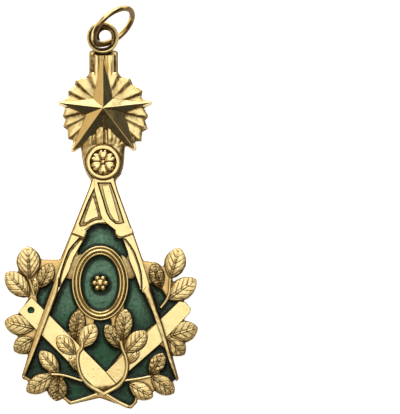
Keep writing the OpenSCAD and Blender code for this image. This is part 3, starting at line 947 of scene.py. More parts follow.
@dataclass
class Eye(Part):
    """The ring eye with its dished face and bright lip, its bore closed in off its middle."""

    middle: Point = (0.5, 33.9)
    lip: float = 2.31
    lip_width: float = 0.05
    lip_level: float = 2.4
    dish_shade: Fade = (0.60, 2.76, 2.62)
    throat_shade: Fade = (0.35, 2.30, 2.20)
    bore_middle: Point = (0.50, 0.26)
    bore: float = 1.22
    closed_left: Point = (-0.82, -0.56)
    closed_right: Point = (-0.70, -0.10)
    closed_reach: Point = (2.29, 2.10)
    closed_drop: float = 0.12
    drop_above: float = 1.9
    section: tuple[Point, ...] = (
        (2.05, 1.88), (2.10, 1.70), (2.28, 1.60), (2.76, 1.60), (3.00, 1.68), (3.14, 1.82),
        (3.20, 2.05), (3.20, 2.90), (3.15, 3.10), (3.04, 3.24), (2.92, 3.30), (2.80, 3.27),
        (2.69, 3.14), (2.58, 2.80), (2.48, 2.55), (2.40, 2.50), (2.35, 2.62), (2.30, 2.64),
        (2.24, 2.52), (2.12, 2.25), (2.05, 2.10))
    steps: int = 96

    def build(self) -> None:
        """Builds the eye ring by ring from its section."""
        eye = Bench.rings("eye", self.steps, [(r, r, z) for r, z in self.section])
        places = Bench.corners(eye)
        reach = np.hypot(places[:, 0], places[:, 1])
        lip = np.exp(-((reach - self.lip) / self.lip_width) ** 2) * (places[:, 2] > self.lip_level)
        # Painted shade in the dish and the bore; the bright lip is left clear.
        Bench.stain_and_shade(eye, (fade(self.dish_shade, reach) + fade(self.throat_shade, reach))
                    * (1 - lip))
        ways = places[:, :2] / reach[:, None]
        spare = np.where(ways[:, 0] < 0, smooth_step(*self.closed_left, ways[:, 1]),
                         smooth_step(*self.closed_right, ways[:, 1]))
        spare *= smooth_step(*self.closed_reach, reach)
        wall = self.section[0][0]
        closed = np.array(self.bore_middle) + ways * (self.bore + reach - wall)[:, None]
        places[:, :2] += (closed - places[:, :2]) * spare[:, None]
        places[:, 2] -= self.closed_drop * spare * (places[:, 2] > self.drop_above)
        Bench.move_corners(eye, places + (*self.middle, 0))
        self.shop.deliver(eye, self.shop.finishes.polished, angle=50)


@dataclass
class Neck(Part):
    """The fluted neck between the eye and the star."""

    middle: float = 0.65
    width: float = 5.66
    foot: float = 23.6
    head: float = 31.0
    root: float = 0.9
    unevenness: float = 0.025
    head_fall: Fade = (0.7, 0.90, 1.0)
    left_shade: Fade = (0.80, -0.56, -0.66)
    left_rim: Point = (-1.0, -0.90)
    right_shade: Fade = (0.95, 0.66, 0.80)
    head_shade: Fade = (0.65, 30.2, 30.9)
    section: tuple[Point, ...] = (
        (-1.0, 1.7), (-0.96, 1.95), (-0.88, 2.08), (-0.74, 2.22), (-0.70, 2.34), (-0.64, 2.54),
        (-0.56, 2.60), (-0.42, 2.62), (-0.32, 2.52), (-0.24, 2.42), (-0.12, 2.50), (0.0, 2.66),
        (0.05, 2.64), (0.14, 2.42), (0.22, 2.40), (0.34, 2.60), (0.50, 2.64), (0.64, 2.52),
        (0.70, 2.30), (0.76, 2.16), (0.90, 2.02), (0.96, 1.92), (1.0, 1.7))

    def surface(self, u: Array, v: Array) -> Places:
        """The fluted face.

        Args:
            u: the share of the way up.
            v: the share across, from -1 to 1.

        Returns:
            The places.
        """
        at, level = np.array(self.section).T
        y = self.foot + u * (self.head - self.foot)
        x = self.middle + v * self.width / 2
        z = np.interp(v, at, level) + self.unevenness * ripple(x * 2.2, y * 0.4, 1.6, 11)
        z -= fade(self.head_fall, u) * (1 - 0.6 * np.abs(v))
        return x, y, z

    def build(self) -> None:
        """Builds the neck."""
        neck = Bench.relief("neck", 60, 110, self.root, self.surface)
        x, y, _ = Bench.corners(neck).T
        across = (x - self.middle) / (self.width / 2)
        # Painted shade on the flutes at both sides, and under the eye at the head.
        sides = (fade(self.left_shade, across) * smooth_step(*self.left_rim, across)
                 + fade(self.right_shade, across))
        Bench.stain_and_shade(neck, sides + fade(self.head_shade, y))
        self.shop.deliver(neck, self.shop.finishes.satin, angle=60)


# Star, fan and boss


@dataclass
class Star(Part):
    """The five-pointed star with sharp ridges, blunt tips and steep edges."""

    middle: Point = (0.6, 19.85)
    peak: float = 4.5
    rim: float = 2.85
    ledge: float = 2.35
    root: float = 1.0
    edge: float = 0.26
    tip_width: float = 0.62
    ridge: float = 0.13
    tips: tuple[Point, ...] = ((90, 9.9), (173, 8.95), (234, 10.6), (307.5, 10.4), (366.5, 9.65))
    corners: tuple[Point, ...] = ((138, 3.1), (201, 4), (270, 4.2), (345.5, 4.6), (404, 3))
    from_light: Point = (0.35, -0.94)
    turned_from: Point = (-0.05, 0.25)
    facet_shade: float = 0.80
    facet_fade: float = 0.085
    off_top_darkening: float = 0.06
    peak_reach: float = 2
    side_shade: float = 0.8
    side_below: float = 2.4
    slack: float = 0.01

    def outline(self) -> list[Point]:
        """The star's outline, with two corners at each blunt tip.

        Returns:
            Its corners in turn.
        """
        points = []
        for (angle, reach), (inner, near) in zip(self.tips, self.corners):
            a, b = math.radians(angle), math.radians(inner)
            tip = Vector(self.middle) + reach * Vector((math.cos(a), math.sin(a)))
            side = Vector((-math.sin(a), math.cos(a))) * self.tip_width / 2
            corner = Vector(self.middle) + near * Vector((math.cos(b), math.sin(b)))
            points += [tuple(tip - side), tuple(tip + side), tuple(corner)]
        return points

    def shade(self, star: Piece) -> None:
        """Paints shade on the facets turned from the light, most of all round the peak, and on the
        low sides; all but the peak is a little darker.

        Args:
            star: the star.
        """
        layer = star.data.attributes.new("stain_and_shade", "FLOAT", "CORNER")
        for face in star.data.polygons:
            lean = self.from_light[0] * face.normal.x + self.from_light[1] * face.normal.y
            away = smooth_step(*self.turned_from, lean)
            for loop in face.loop_indices:
                place = star.data.vertices[star.data.loops[loop].vertex_index].co
                reach = math.hypot(place.x - self.middle[0], place.y - self.middle[1])
                share = (self.off_top_darkening * (reach > self.peak_reach)
                         + away * max(self.facet_shade - self.facet_fade * reach, 0))
                low = place.z < self.side_below
                layer.data[loop].value = self.side_shade if low else share

    def build(self) -> None:
        """Builds the star: an upright block, a steep edge, and a top poked up to the peak."""
        points = self.outline()
        inner = np.array(grown(points, -self.edge))
        star = Bench.prism("star", points, self.root, self.ledge, edge=0)
        with Bench.editing(star, lambda c: c[:, 2].min() > self.ledge - self.slack):
            bpy.ops.mesh.extrude_region_move(
                TRANSFORM_OT_translate={"value": (0, 0, self.rim - self.ledge)})
        Bench.resettle(star, points, inner, self.rim - self.slack)
        with Bench.editing(star, lambda c: c[:, 2].min() > self.rim - self.slack):
            bpy.ops.mesh.poke()
        places = Bench.corners(star)
        for place in places:
            if place[2] > self.rim - self.slack:
                if np.min(np.hypot(*(inner - place[:2]).T)) > self.slack:
                    place[:] = (*self.middle, self.peak)
        Bench.move_corners(star, places)
        Bench.outward(star)
        Bench.bevel(star, self.ridge, 2, 20)
        self.shade(star)
        self.shop.deliver(star, self.shop.finishes.faceted, angle=18, flat=True)


@dataclass
class Fan(Part):
    """The crimped fan of rays behind the star.

    Attributes:
        rays: each ray's angle and reach.
        under_band: the slope, the drop and the spread of the painted shadow band under the star.
        crease_shade: a fold's painted shade, and how much more it has in the upper half.
        crease_width: the same for its width.
    """

    middle: Point = (0.6, 19.85)
    peak: float = 3.0
    ray_level: float = 2.62
    fold_level: float = 2.40
    fold_share: float = 0.9
    root: float = 0.9
    unevenness: float = 0.03
    rim_fall: Fade = (0.15, 0.95, 1.0)
    inner_shade: Fade = (0.30, 5.6, 4.2)
    under_shade: Fade = (0.7, 8.0, 5.5)
    under_band: Triple = (0.15, 0.55, 0.75)
    crease_shade: Point = (0.75, 0.3)
    crease_width: Point = (0.18, 0.14)
    crease_from: Point = (3.5, 5.5)
    pebbled_from: float = 3.0
    rays: tuple[Point, ...] = (
        (48, 7.9), (68, 7.6), (109, 7.5), (134, 7.8), (153, 7.8), (172, 8.1), (191, 8.2),
        (205, 8.8), (221, 9.3), (234, 9.8), (252, 8.6), (264, 8.4), (276, 8.4), (288, 8.6),
        (307, 9.8), (319, 10), (335, 9.7), (349.5, 9.1), (366, 8.6), (384, 8.5))

    @staticmethod
    def fold_at(angle: float, following: float) -> float:
        """The share of the way from one ray's angle to the next where the fold lies."""
        side = math.cos(math.radians((angle + following) / 2))
        return 0.5 + 0.26 * max(-1.0, min(1.0, 1.6 * side))

    def spine(self) -> Array:
        """The rays and the folds between them in turn.

        Returns:
            Four rows: their places in the turn, angles, reaches and levels.
        """
        count = len(self.rays)
        rows = []
        for i in range(count + 1):
            angle, reach = self.rays[i % count]
            following, far = self.rays[(i + 1) % count]
            angle += 360 * (i // count)
            following += 360 * ((i + 1) // count)
            fold = self.fold_at(angle, following)
            rows += [(i, angle, reach, self.ray_level),
                     (i + fold, angle + fold * (following - angle),
                      self.fold_share * (reach + fold * (far - reach)), self.fold_level)]
        return np.array(rows).T

    def surface(self, u: Array, v: Array) -> Places:
        """The pleated face.

        Args:
            u: the share of the way out.
            v: the turn, from -1 to 1.

        Returns:
            The places.
        """
        knots, angles, reaches, levels = self.spine()
        turn = (v + 1) / 2 * len(self.rays)
        angle = np.radians(np.interp(turn, knots, angles))
        reach = np.interp(turn, knots, reaches)
        rim = np.interp(turn, knots, levels)
        x = self.middle[0] + u * reach * np.cos(angle)
        y = self.middle[1] + u * reach * np.sin(angle)
        z = self.peak + (rim - self.peak) * u ** 0.8
        z += self.unevenness * ripple(x, y, 0.9, 5) * smooth_step(0.2, 0.6, u)
        z -= fade(self.rim_fall, u)
        return x, y, z

    def build(self) -> None:
        """Builds the fan."""
        count = len(self.rays)
        fan = Bench.relief("ray_fan", 26, 12 * count, self.root, self.surface)
        x, y, _ = (Bench.corners(fan) - (*self.middle, 0)).T
        reach = np.hypot(x, y)
        turn = np.arctan2(y, x)
        folds = self.spine()[1, 1:2 * count:2]
        apart = np.min([np.abs(np.sin((turn - math.radians(angle)) / 2)) for angle in folds],
                       axis=0) * 2 * reach
        upper = y > 0
        share, width = (low + more * upper for low, more in (self.crease_shade, self.crease_width))
        creases = share * np.exp(-(apart / width) ** 2) * smooth_step(*self.crease_from, reach)
        slope, drop, spread = self.under_band
        below = np.exp(-((y + slope * np.abs(x) + drop) / spread) ** 2)
        # Painted shade in the folds, round the middle under the star, and in a shadow band under
        # its side arms.
        Bench.stain_and_shade(fan, creases + fade(self.inner_shade, reach)
                    + fade(self.under_shade, np.abs(x)) * below)
        self.shop.deliver(fan, self.shop.finishes.satin, self.shop.finishes.pebbled, angle=50,
                          second=lambda face: face.center.x > self.pebbled_from)


@dataclass
class Boss(Part):
    """The round boss with a rosette sunk in it, and the collar that carries it."""

    middle: Point = (0.6, 9.0)
    radius: float = 3.46
    top: float = 3.62
    floor: float = 3.02
    petals: int = 6
    petal_reach: float = 1.50
    foot: float = 5.4
    head: float = 16
    root: float = 0.9
    bead: float = 0.50
    collar_level: float = 1.9
    collar_crown: float = 0.75
    collar_rise: Fade = (0.3, 12, 14.5)
    unevenness: float = 0.03
    flutes_from: Point = (12.1, 12.7)
    dark_from: Point = (12.1, 12.8)
    dark_flutes: tuple[tuple[float, ...], ...] = (
        (-1.7, -1.4, -1.1, -0.9, 0.85, 1.05, 1.4, 1.6), (0, 0.9, 0.9, 0, 0, 0.9, 0.9, 0))
    left_shade: Fade = (0.2, -0.1, -0.8)
    right_shade: Fade = (0.75, 0.74, 0.92)
    collar_left: tuple[Point, ...] = (
        (5.4, -1.75), (6.5, -2.5), (8.2, -3.2), (10.6, -3.6), (13, -3.8), (14.2, -3.1), (16, -2.0))
    collar_right: tuple[Point, ...] = (
        (5.4, 3.0), (6.6, 4.0), (8.2, 4.55), (10.6, 4.72), (13, 4.8), (14.2, 4.1), (16, 3.0))
    flutes: tuple[Point, ...] = (
        (-2.6, 0), (-2.1, 0.10), (-1.7, 0.06), (-1.35, -0.30), (-1.0, -0.30), (-0.7, 0.10),
        (-0.1, 0.16), (0.5, 0.30), (0.75, 0.12), (1.0, -0.30), (1.35, -0.34), (1.6, 0.14),
        (2.1, 0.16), (2.6, 0.04), (3.2, 0))

    def sides(self, y: Array) -> tuple[Array, Array]:
        """The collar's left and right edges at each y."""
        return tuple(np.interp(y, *np.array(edge).T)
                     for edge in (self.collar_left, self.collar_right))

    def collar(self, u: Array, v: Array) -> Places:
        """The barrel-shaped collar with its short flutes.

        Args:
            u: the share of the way up.
            v: the share across, from -1 to 1.

        Returns:
            The places.
        """
        y = self.foot + u * (self.head - self.foot)
        left, right = self.sides(y)
        x = (left + right) / 2 + v * (right - left) / 2
        z = (self.collar_level + self.collar_crown * np.sqrt(np.clip(1 - v ** 4, 0, 1))
             + fade(self.collar_rise, y))
        z += np.interp(x, *np.array(self.flutes).T) * smooth_step(*self.flutes_from, y)
        return x, y, z + self.unevenness * ripple(x, y, 1.2, 8)

    def petal(self, turn: float) -> Piece:
        """One petal: a flattened lobe, broader outwards, with a shallow cleft at its end.

        Args:
            turn: the way that it points, in degrees.

        Returns:
            The petal.
        """
        petal = Bench.ball("petal", 36, 20)
        x, y, z = Bench.corners(petal).T
        cleft = np.exp(-(y / 0.17) ** 2) * smooth_step(0.1, 0.9, x)
        tall = 0.52 - 0.18 * cleft
        Bench.move_corners(petal, np.column_stack([
            self.petal_reach + 1.12 * x - 0.20 * cleft, 0.94 * y * (1 + 0.32 * x),
            self.floor + np.sign(z) * np.abs(z) ** 0.62 * tall]))
        petal.data.transform(Matrix.Rotation(math.radians(turn), 4, "Z"))
        return petal

    def build(self) -> None:
        """Builds the collar, the boss and its rosette."""
        collar = Bench.relief("boss_collar", 72, 96, self.root, self.collar)
        x, y, _ = Bench.corners(collar).T
        left, right = self.sides(y)
        across = 2 * (x - left) / (right - left) - 1
        # Painted shade in the collar's short flutes and along its sides.
        flutes = np.interp(x, *self.dark_flutes) * smooth_step(*self.dark_from, y)
        Bench.stain_and_shade(collar, flutes + fade(self.left_shade, across)
                    + fade(self.right_shade, across))
        self.shop.deliver(collar, self.shop.finishes.satin, angle=60)
        r, top, low = self.radius, self.top, self.floor
        section = [(0.4, low), (r - 0.98, low), (r - 0.88, low + 0.08), (r - 0.82, top - 0.14),
                   (r - 0.74, top - 0.03), (r - 0.55, top), (r - 0.24, top - 0.01),
                   (r - 0.12, top - 0.07), (r - 0.06, top - 0.20), (r - 0.04, 3.22),
                   (r + 0.19, 3.14), (r + 0.22, 3.0), (r + 0.22, 1.0), (0.4, 1.0)]
        boss = Bench.rings("boss", 96, [(q, q, z) for q, z in section])
        x, y, z = Bench.corners(boss).T
        reach = np.hypot(x, y)
        # A little overall darkening, painted shade on the sunk floor inside the rim, and black
        # painted shade on its outer wall.
        Bench.stain_and_shade(boss, 0.10 + 0.7 * smooth_step(r - 0.84, r - 0.93, reach)
                    + BLACK * (z < top - 0.12) * (reach > r - 0.09))
        petals = [self.petal(30 + 360 / self.petals * i) for i in range(self.petals)]
        bead = Bench.ball("bead", 32, 16, self.bead, (1, 1, 0.9), (0, 0, low + 0.18))
        rosette = Bench.join("boss_rosette", petals + [bead])
        for piece in (boss, rosette):
            Bench.move_corners(piece, Bench.corners(piece) + (*self.middle, 0))
            self.shop.deliver(piece, self.shop.finishes.polished, angle=40)


# Compasses and set square


@dataclass
class Compasses(Part):
    """The pair of compasses: two legs with panels, knuckles, inner blades and ridged points.

    Attributes:
        top: the height of the right leg's face.
        left_drop: how much lower the left leg lies.
        pocket: the depth of the sunk places.
        wall: how much narrower their floors are, on each side.
        floor_shades: how dark the painted shade on the left and the right leg's pocket floors is.
        knuckle_line: how far the painted shadow line lies below a knuckle, and line_rise its
            height.
        shafts: the legs' lower parts: the height of their edges, where the ridge lies across
            and how far its two sides fall, and rows of y, left edge and right edge.
    """

    top: float = 3.1
    left_drop: float = 0.25
    pocket: float = 0.32
    flare: float = 0.15
    wall: float = 0.29
    floor_shades: tuple[float, float] = (0.70, 0.34)
    knuckle_line: float = 0.24
    line_rise: float = 0.03
    line_shade: float = 0.95
    rise: float = 0.15
    root: float = 1.0
    edge: float = 0.07
    left: Outline = (
        (-1.45, 6), (-2.25, 3.6), (-5.7, -5.2), (-7.7, -10.6), (-9, -14.2), (-12.1, -22.6),
        (-15.6, -33.6), (-15.4, -34.2), (-14.8, -33.4), (-11.2, -24.6), (-8.4, -17.1),
        (-7.7, -15.6), (-6.2, -12.9), (-5.2, -10), (-3.2, -6.5), (-2.6, -4.6), (-1.8, -3.9),
        (-0.8, -3.35), (0.95, -2.8), (0.7, -1.5), (-0.1, 1.7), (-0.85, 4.6), (-0.85, 6))
    right: Outline = (
        (2.7, 6), (-1.3, 6), (-1.2, 3.4), (0.15, -1.8), (0.9, -2.9), (3, -4.6), (3.2, -5.9),
        (4.4, -6.2), (5.3, -8.3), (5.8, -10.7), (6.9, -13.3), (7.9, -16.3), (9.1, -17.7),
        (11.2, -23.1), (12.6, -27.2), (13.6, -30.5), (15.2, -34.6), (15.6, -34.3),
        (12.9, -24.5), (11.4, -20.5), (9.4, -13.9), (8.5, -10.8), (6.4, -4.8), (3.35, 3.5))
    left_pocket: Outline = (
        (-1.35, 3.6), (-2.5, 1.25), (-4.25, -3.2), (-4.05, -3.85), (-3.1, -3.75), (-1.85, -3.0),
        (-0.8, -2.55), (0.3, -2.45), (0.45, -1.2), (-0.3, 1.6), (-1.0, 4.1))
    left_panel: Outline = (
        (-1.62, 2.2), (-3.35, -2.7), (-3.1, -3.15), (-2.5, -2.95), (-1.7, -2.4), (-0.8, -2.05),
        (-0.22, -1.98), (-0.68, 0.0), (-1.3, 2.1))
    left_blade_pocket: Outline = (
        (-4.2, -6.0), (-5.5, -7.4), (-6.35, -8.5), (-7.15, -10.5), (-7.85, -12.7),
        (-8.25, -14.3), (-8.3, -15.9), (-7.0, -15.7), (-5.6, -12.7), (-4.6, -9.9), (-2.8, -6.2))
    left_blade: Outline = (
        (-3.9, -6.4), (-5.0, -7.75), (-5.95, -8.9), (-6.78, -10.8), (-7.48, -12.8),
        (-7.85, -14.3), (-7.85, -15.4), (-7.6, -15.2), (-6.2, -12.7), (-5.25, -9.9),
        (-3.45, -6.7))
    right_pocket: Outline = (
        (-0.6, 5.0), (0.45, 1.6), (1.25, -1.15), (1.95, -2.35), (3.2, -3.35), (4.0, -3.3),
        (4.85, -3.05), (3.95, -0.25), (3.05, 2.6), (2.15, 5.0))
    right_panel: Outline = (
        (0.25, 4.5), (1.04, 1.3), (1.84, -1.2), (2.55, -2.35), (3.15, -2.85), (3.6, -2.95),
        (3.9, -2.8), (3.85, -2.4), (3.6, -1.5), (2.85, 1.2), (1.9, 4.5))
    right_blade_pocket: Outline = (
        (4.4, -6.1), (5.1, -6.2), (6.2, -7.6), (7.0, -9), (7.85, -11.4), (8.3, -13.2),
        (8.45, -15.2), (8.4, -16.7), (7.5, -16.6), (6.5, -13.4), (5.4, -10.7), (4.9, -8.4),
        (4.0, -6.4))
    right_blade: Outline = (
        (4.65, -6.5), (5.85, -7.8), (6.6, -9.2), (7.45, -11.4), (7.92, -13.3), (8.1, -15.2),
        (8.1, -16.1), (7.95, -16.0), (6.95, -13.2), (5.9, -10.7), (5.4, -8.6))
    left_knuckle: Outline = (
        (-4.9, -3.7), (-5.75, -5.15), (-3.15, -6.1), (-2.62, -4.6), (-3.4, -4.0))
    right_knuckle: Outline = (
        (2.9, -4.3), (3.0, -5.3), (3.6, -5.85), (4.4, -5.95), (6.6, -5.2), (6.5, -4.3),
        (4.9, -3.5))
    arch: Outline = ((-3.9, -4.6), (-2.9, -4.15), (-1.9, -3.48), (-0.8, -3.03), (0.9, -2.85))
    arch_radius: float = 0.28
    arch_drop: float = 0.10
    shaft_shade: Fade = (1.25, 0.52, 0.72)
    shaft_rim_shade: Fade = (0.7, -0.78, -0.92)
    shaft_end_darkening: Fade = (0.8, 0.9, 0.2)
    shafts: tuple[tuple[str, float, Triple, tuple[Triple, ...]], ...] = (
        ("compass_point_left", 2.86, (-0.08, 0.21, 0.05), (
            (-13.6, -8.65, -8.3), (-15.4, -9.35, -8.25), (-17.1, -10.0, -8.5),
            (-22.6, -12.0, -10.55), (-24.6, -12.7, -11.3), (-30, -14.4, -13.5),
            (-33.5, -15.5, -14.95))),
        ("compass_point_right", 3.11, (0.34, 0.05, 0.15), (
            (-15.3, 9.3, 9.75), (-16.6, 8.5, 10.2), (-18.6, 9.65, 10.8), (-20.5, 10.35, 11.35),
            (-23.1, 11.25, 12.4), (-27.2, 12.7, 13.55), (-30.5, 13.7, 14.4),
            (-34.2, 15.15, 15.5))))

    def leg(self, name: str, outline: Outline, top: float, pockets: Sequence[Outline]) -> Piece:
        """One leg with its pockets cut in.

        Args:
            name: the leg's name.
            outline: its outline.
            top: the height of its face.
            pockets: the outlines of its pockets.

        Returns:
            The leg.
        """
        leg = Bench.prism(name, outline, self.root, top, edge=0, flare=-self.flare)
        foot = top - self.pocket
        for pocket in pockets:
            Bench.carve(leg, Bench.prism("cutter", grown(pocket, 0.03 - self.wall), foot,
                                         foot + 2 * self.pocket, edge=0, flare=2 * self.wall))
        Bench.bevel(leg, self.edge, 3, 30)
        return leg

    @staticmethod
    def across(rows: Sequence[Triple], y: Array) -> tuple[Array, Array]:
        """The middle and the half-width of a leg's lower part.

        Args:
            rows: y, left edge and right edge at each station.
            y: the places to read it at.

        Returns:
            The middle and the half-width at each place.
        """
        down, left, right = np.array(rows).T
        west = np.interp(-y, -down, left)
        east = np.interp(-y, -down, right)
        return (west + east) / 2, (east - west) / 2 * 0.97

    def shaft(self, name: str, top: float, ridge: Triple, rows: Sequence[Triple]) -> Piece:
        """The ridged lower part of a leg.

        Args:
            name: its name.
            top: the height of its edges.
            ridge: the ridge's place from -1 to 1, and the fall of the sides left and right of it.
            rows: y, left edge and right edge at each station.

        Returns:
            The shaft.
        """
        at, fall_left, fall_right = ridge
        start, end = rows[0][0], rows[-1][0]

        def surface(u: Array, v: Array) -> Places:
            """The ridged face.

            Args:
                u: the share of the way down.
                v: the share across, from -1 to 1.

            Returns:
                The places.
            """
            y = start + u * (end - start)
            middle, half = self.across(rows, y)
            left = np.clip((at - v) / (1 + at), 0, 1)
            right = np.clip((v - at) / (1 - at), 0, 1)
            ends = smooth_step(0, 0.06, u) * smooth_step(1.02, 0.9, u)
            fall = fall_left * left + fall_right * right + 0.05 * np.abs(v) ** 12
            z = top - 0.02 + (max(fall_left, fall_right) + 0.04 - fall) * ends
            return middle + v * half, y, z + 0.015 * ripple(v * half, y, 1.5, 23)

        shaft = Bench.relief(name, 90, 24, self.root, surface)
        x, y, _ = Bench.corners(shaft).T
        middle, half = self.across(rows, y)
        v = (x - middle) / np.maximum(half, 0.05)
        # Painted shade on the shaft's right side and left rim, darker towards the point, and a
        # little overall.
        Bench.stain_and_shade(shaft, fade(self.shaft_shade, v) + fade(self.shaft_rim_shade, v)
                    + fade(self.shaft_end_darkening, y - end) + 0.1)
        return shaft

    def build(self) -> None:
        """Builds both legs and what lies on them."""
        low, high = self.top - self.left_drop, self.top
        gold, satin = self.shop.finishes.gold, self.shop.finishes.satin
        for side, outline, top, floor, pockets in (
                ("left", self.left, low, self.floor_shades[0],
                 (self.left_pocket, self.left_blade_pocket)),
                ("right", self.right, high, self.floor_shades[1],
                 (self.right_pocket, self.right_blade_pocket))):
            leg = self.leg("compass_leg_" + side, outline, top, pockets)
            # Black painted shade on the walls, lighter painted shade on the pocket floors.
            Bench.paint_shade_faces(leg, top, floor)
            self.shop.deliver(leg, gold, flat=True)
        level = low - self.arch_drop
        arch = Bench.tube("compass_arch", [(x, y, level) for x, y in self.arch], self.arch_radius)
        self.shop.deliver(arch, gold, angle=60)
        for name, outline, top, edge in (
                ("compass_panel_left", self.left_panel, low - 0.10, 0.17),
                ("compass_blade_left", self.left_blade, low - 0.05, 0.15),
                ("compass_blade_right", self.right_blade, high - 0.05, 0.15),
                ("compass_panel_right", self.right_panel, high + 0.02, 0.18),
                ("compass_knuckle_left", self.left_knuckle, low + self.rise, 0.16),
                ("compass_knuckle_right", self.right_knuckle, high + self.rise, 0.16)):
            block = Bench.prism(name, outline, self.root, top, edge, 3, flare=-0.08)
            if "knuckle" in name:
                # A low block below each knuckle, painted black as its shadow line.
                line = Bench.prism("groove", [(x, y - self.knuckle_line) for x, y in outline],
                                   self.root, top - self.rise + self.line_rise, 0.05)
                Bench.stain_and_shade(line, self.line_shade)
                block = Bench.join(name, [block, line])
            else:
                # Black painted shade on the walls.
                Bench.paint_shade_faces(block, top, 0)
            self.shop.deliver(block, gold, flat=True)
        for name, top, ridge, rows in self.shafts:
            self.shop.deliver(self.shaft(name, top, ridge, rows), satin, angle=60)


@dataclass
class SetSquare(Part):
    """The set square: a drilled left arm lapped over a right arm."""

    top: float = 2.6
    step: float = 0.12
    root: float = 1.0
    edge: float = 0.14
    dot: Point = (-13.8, -20.5)
    dot_radius: float = 0.62
    foot_darkening: Fade = (1.2, 2.5, 1.0)
    off_top_darkening: Fade = (0.8, -0.02, -0.09)
    inside_stain: Fade = (0.12, 6.4, 5.2)
    pebbled_until: float = 5.6
    foot: Point = (0.9, -36.6)
    cuts: tuple[Outline, ...] = (
        ((5.6, 0), (1, 0)), ((0, -35.7), (0, 1)), ((0, -35.1), (0, 1)), ((0.0, -34.4), (0, 1)))
    left: Outline = ((-13.7, -17.9), (-16.4, -20.8), (-1.4, -35.7), (0.8, -36.5), (3.2, -35.2),
                     (1.1, -32.8))
    right: Outline = ((1.1, -32.8), (3.2, -35.2), (5.6, -32.8), (11.8, -27.4), (18, -20.9),
                      (18, -20), (17, -18.9), (15.7, -18.7), (10.6, -23.7), (4.5, -29.4))

    def build(self) -> None:
        """Builds the two arms."""
        left = Bench.prism("square_arm_left", self.left, self.root, self.top, edge=0)
        Bench.clear()
        bpy.ops.mesh.primitive_cylinder_add(vertices=40, radius=self.dot_radius, depth=4,
                                            location=(*self.dot, 3.4))
        Bench.carve(left, Bench.named("cutter"))
        Bench.bevel(left, self.edge, 3, 40)
        low = self.top - self.step
        right = Bench.prism("square_arm_right", self.right, self.root, low, self.edge, 3)
        for arm, arm_top in ((left, self.top), (right, low)):
            for at, along in self.cuts:
                with Bench.editing(arm):
                    bpy.ops.mesh.bisect(plane_co=(*at, 0), plane_no=(*along, 0))
            x, y, z = Bench.corners(arm).T
            foot = np.hypot(x - self.foot[0], y - self.foot[1])
            # Darker round the foot where the stems meet, painted shade on the sides below the top,
            # and brown spots on the right arm's inner part.
            Bench.stain_and_shade(arm, fade(self.foot_darkening, foot) + fade(self.off_top_darkening, z - arm_top)
                        + fade(self.inside_stain, x) * (arm is right))
        gold, pebbled = self.shop.finishes.gold, self.shop.finishes.pebbled
        self.shop.deliver(left, gold, flat=True)
        self.shop.deliver(right, gold, pebbled, flat=True,
                          second=lambda face: face.center.x < self.pebbled_until)


# Oval frame and sprigs


@dataclass
class OvalFrame(Part):
    """The moulded oval with a rosette of beads in its middle.

    Attributes:
        bead: the size and the height of the beads round the middle, and heart the middle one's.
    """

    middle: Point = (0.0, -15.1)
    half: Point = (5.7, 7.5)
    width: float = 1.9
    top: float = 3.0
    root: float = 1.0
    rosette_reach: float = 1.1
    beads: int = 6
    bead: tuple[Triple, float] = ((0.56, 0.56, 0.55), 2.12)
    heart: tuple[Triple, float] = ((0.80, 0.80, 0.55), 2.3)
    groove_shade: Fade = (1.1, 2.54, 2.47)
    filler_top: float = 2.5
    filler_edge: float = 0.12
    filler_stain: float = 0.5
    moulding: tuple[Point, ...] = (
        (0.0, 1.0), (0.0, 2.35), (0.06, 2.52), (0.20, 2.62), (0.36, 2.58), (0.48, 2.46),
        (0.56, 2.50), (0.68, 2.86), (0.84, 3.0), (1.04, 3.0), (1.20, 2.86), (1.30, 2.52),
        (1.38, 2.46), (1.50, 2.58), (1.66, 2.62), (1.80, 2.52), (1.9, 2.3), (1.9, 1.0))
    fillers: tuple[Outline, ...] = (
        ((-5.3, -9.9), (-6.4, -12.6), (-6.6, -14.2), (-5.2, -14.4), (-3.6, -9.2)),
        ((4.2, -9.3), (5.9, -10.8), (7, -13.2), (6.6, -14.2), (5.2, -14.2)))

    def build(self) -> None:
        """Builds the moulding, its rosette and the fillers beside it."""
        rx, ry = self.half
        oval = Bench.rings("oval_frame", 128,
                           [(rx - inset, ry - inset, z) for inset, z in self.moulding])
        # Painted shade in the moulding's low grooves.
        Bench.stain_and_shade(oval, fade(self.groove_shade, Bench.corners(oval)[:, 2]))
        beads = []
        for i in range(self.beads + 1):
            last = i == self.beads
            size, height = self.heart if last else self.bead
            reach = 0 if last else self.rosette_reach
            angle = math.radians(360 / self.beads * i)
            beads.append(Bench.ball("bead", 28, 14, 1, size, (
                reach * math.cos(angle), reach * math.sin(angle), height)))
        rosette = Bench.join("oval_rosette", beads)
        for piece in (oval, rosette):
            Bench.move_corners(piece, Bench.corners(piece) + (*self.middle, 0))
            self.shop.deliver(piece, self.shop.finishes.gold, angle=50)
        for side, outline in zip(("left", "right"), self.fillers):
            filler = Bench.prism(f"oval_filler_{side}", outline, self.root, self.filler_top,
                                 self.filler_edge)
            Bench.stain_and_shade(filler, self.filler_stain)
            self.shop.deliver(filler, self.shop.finishes.pebbled)


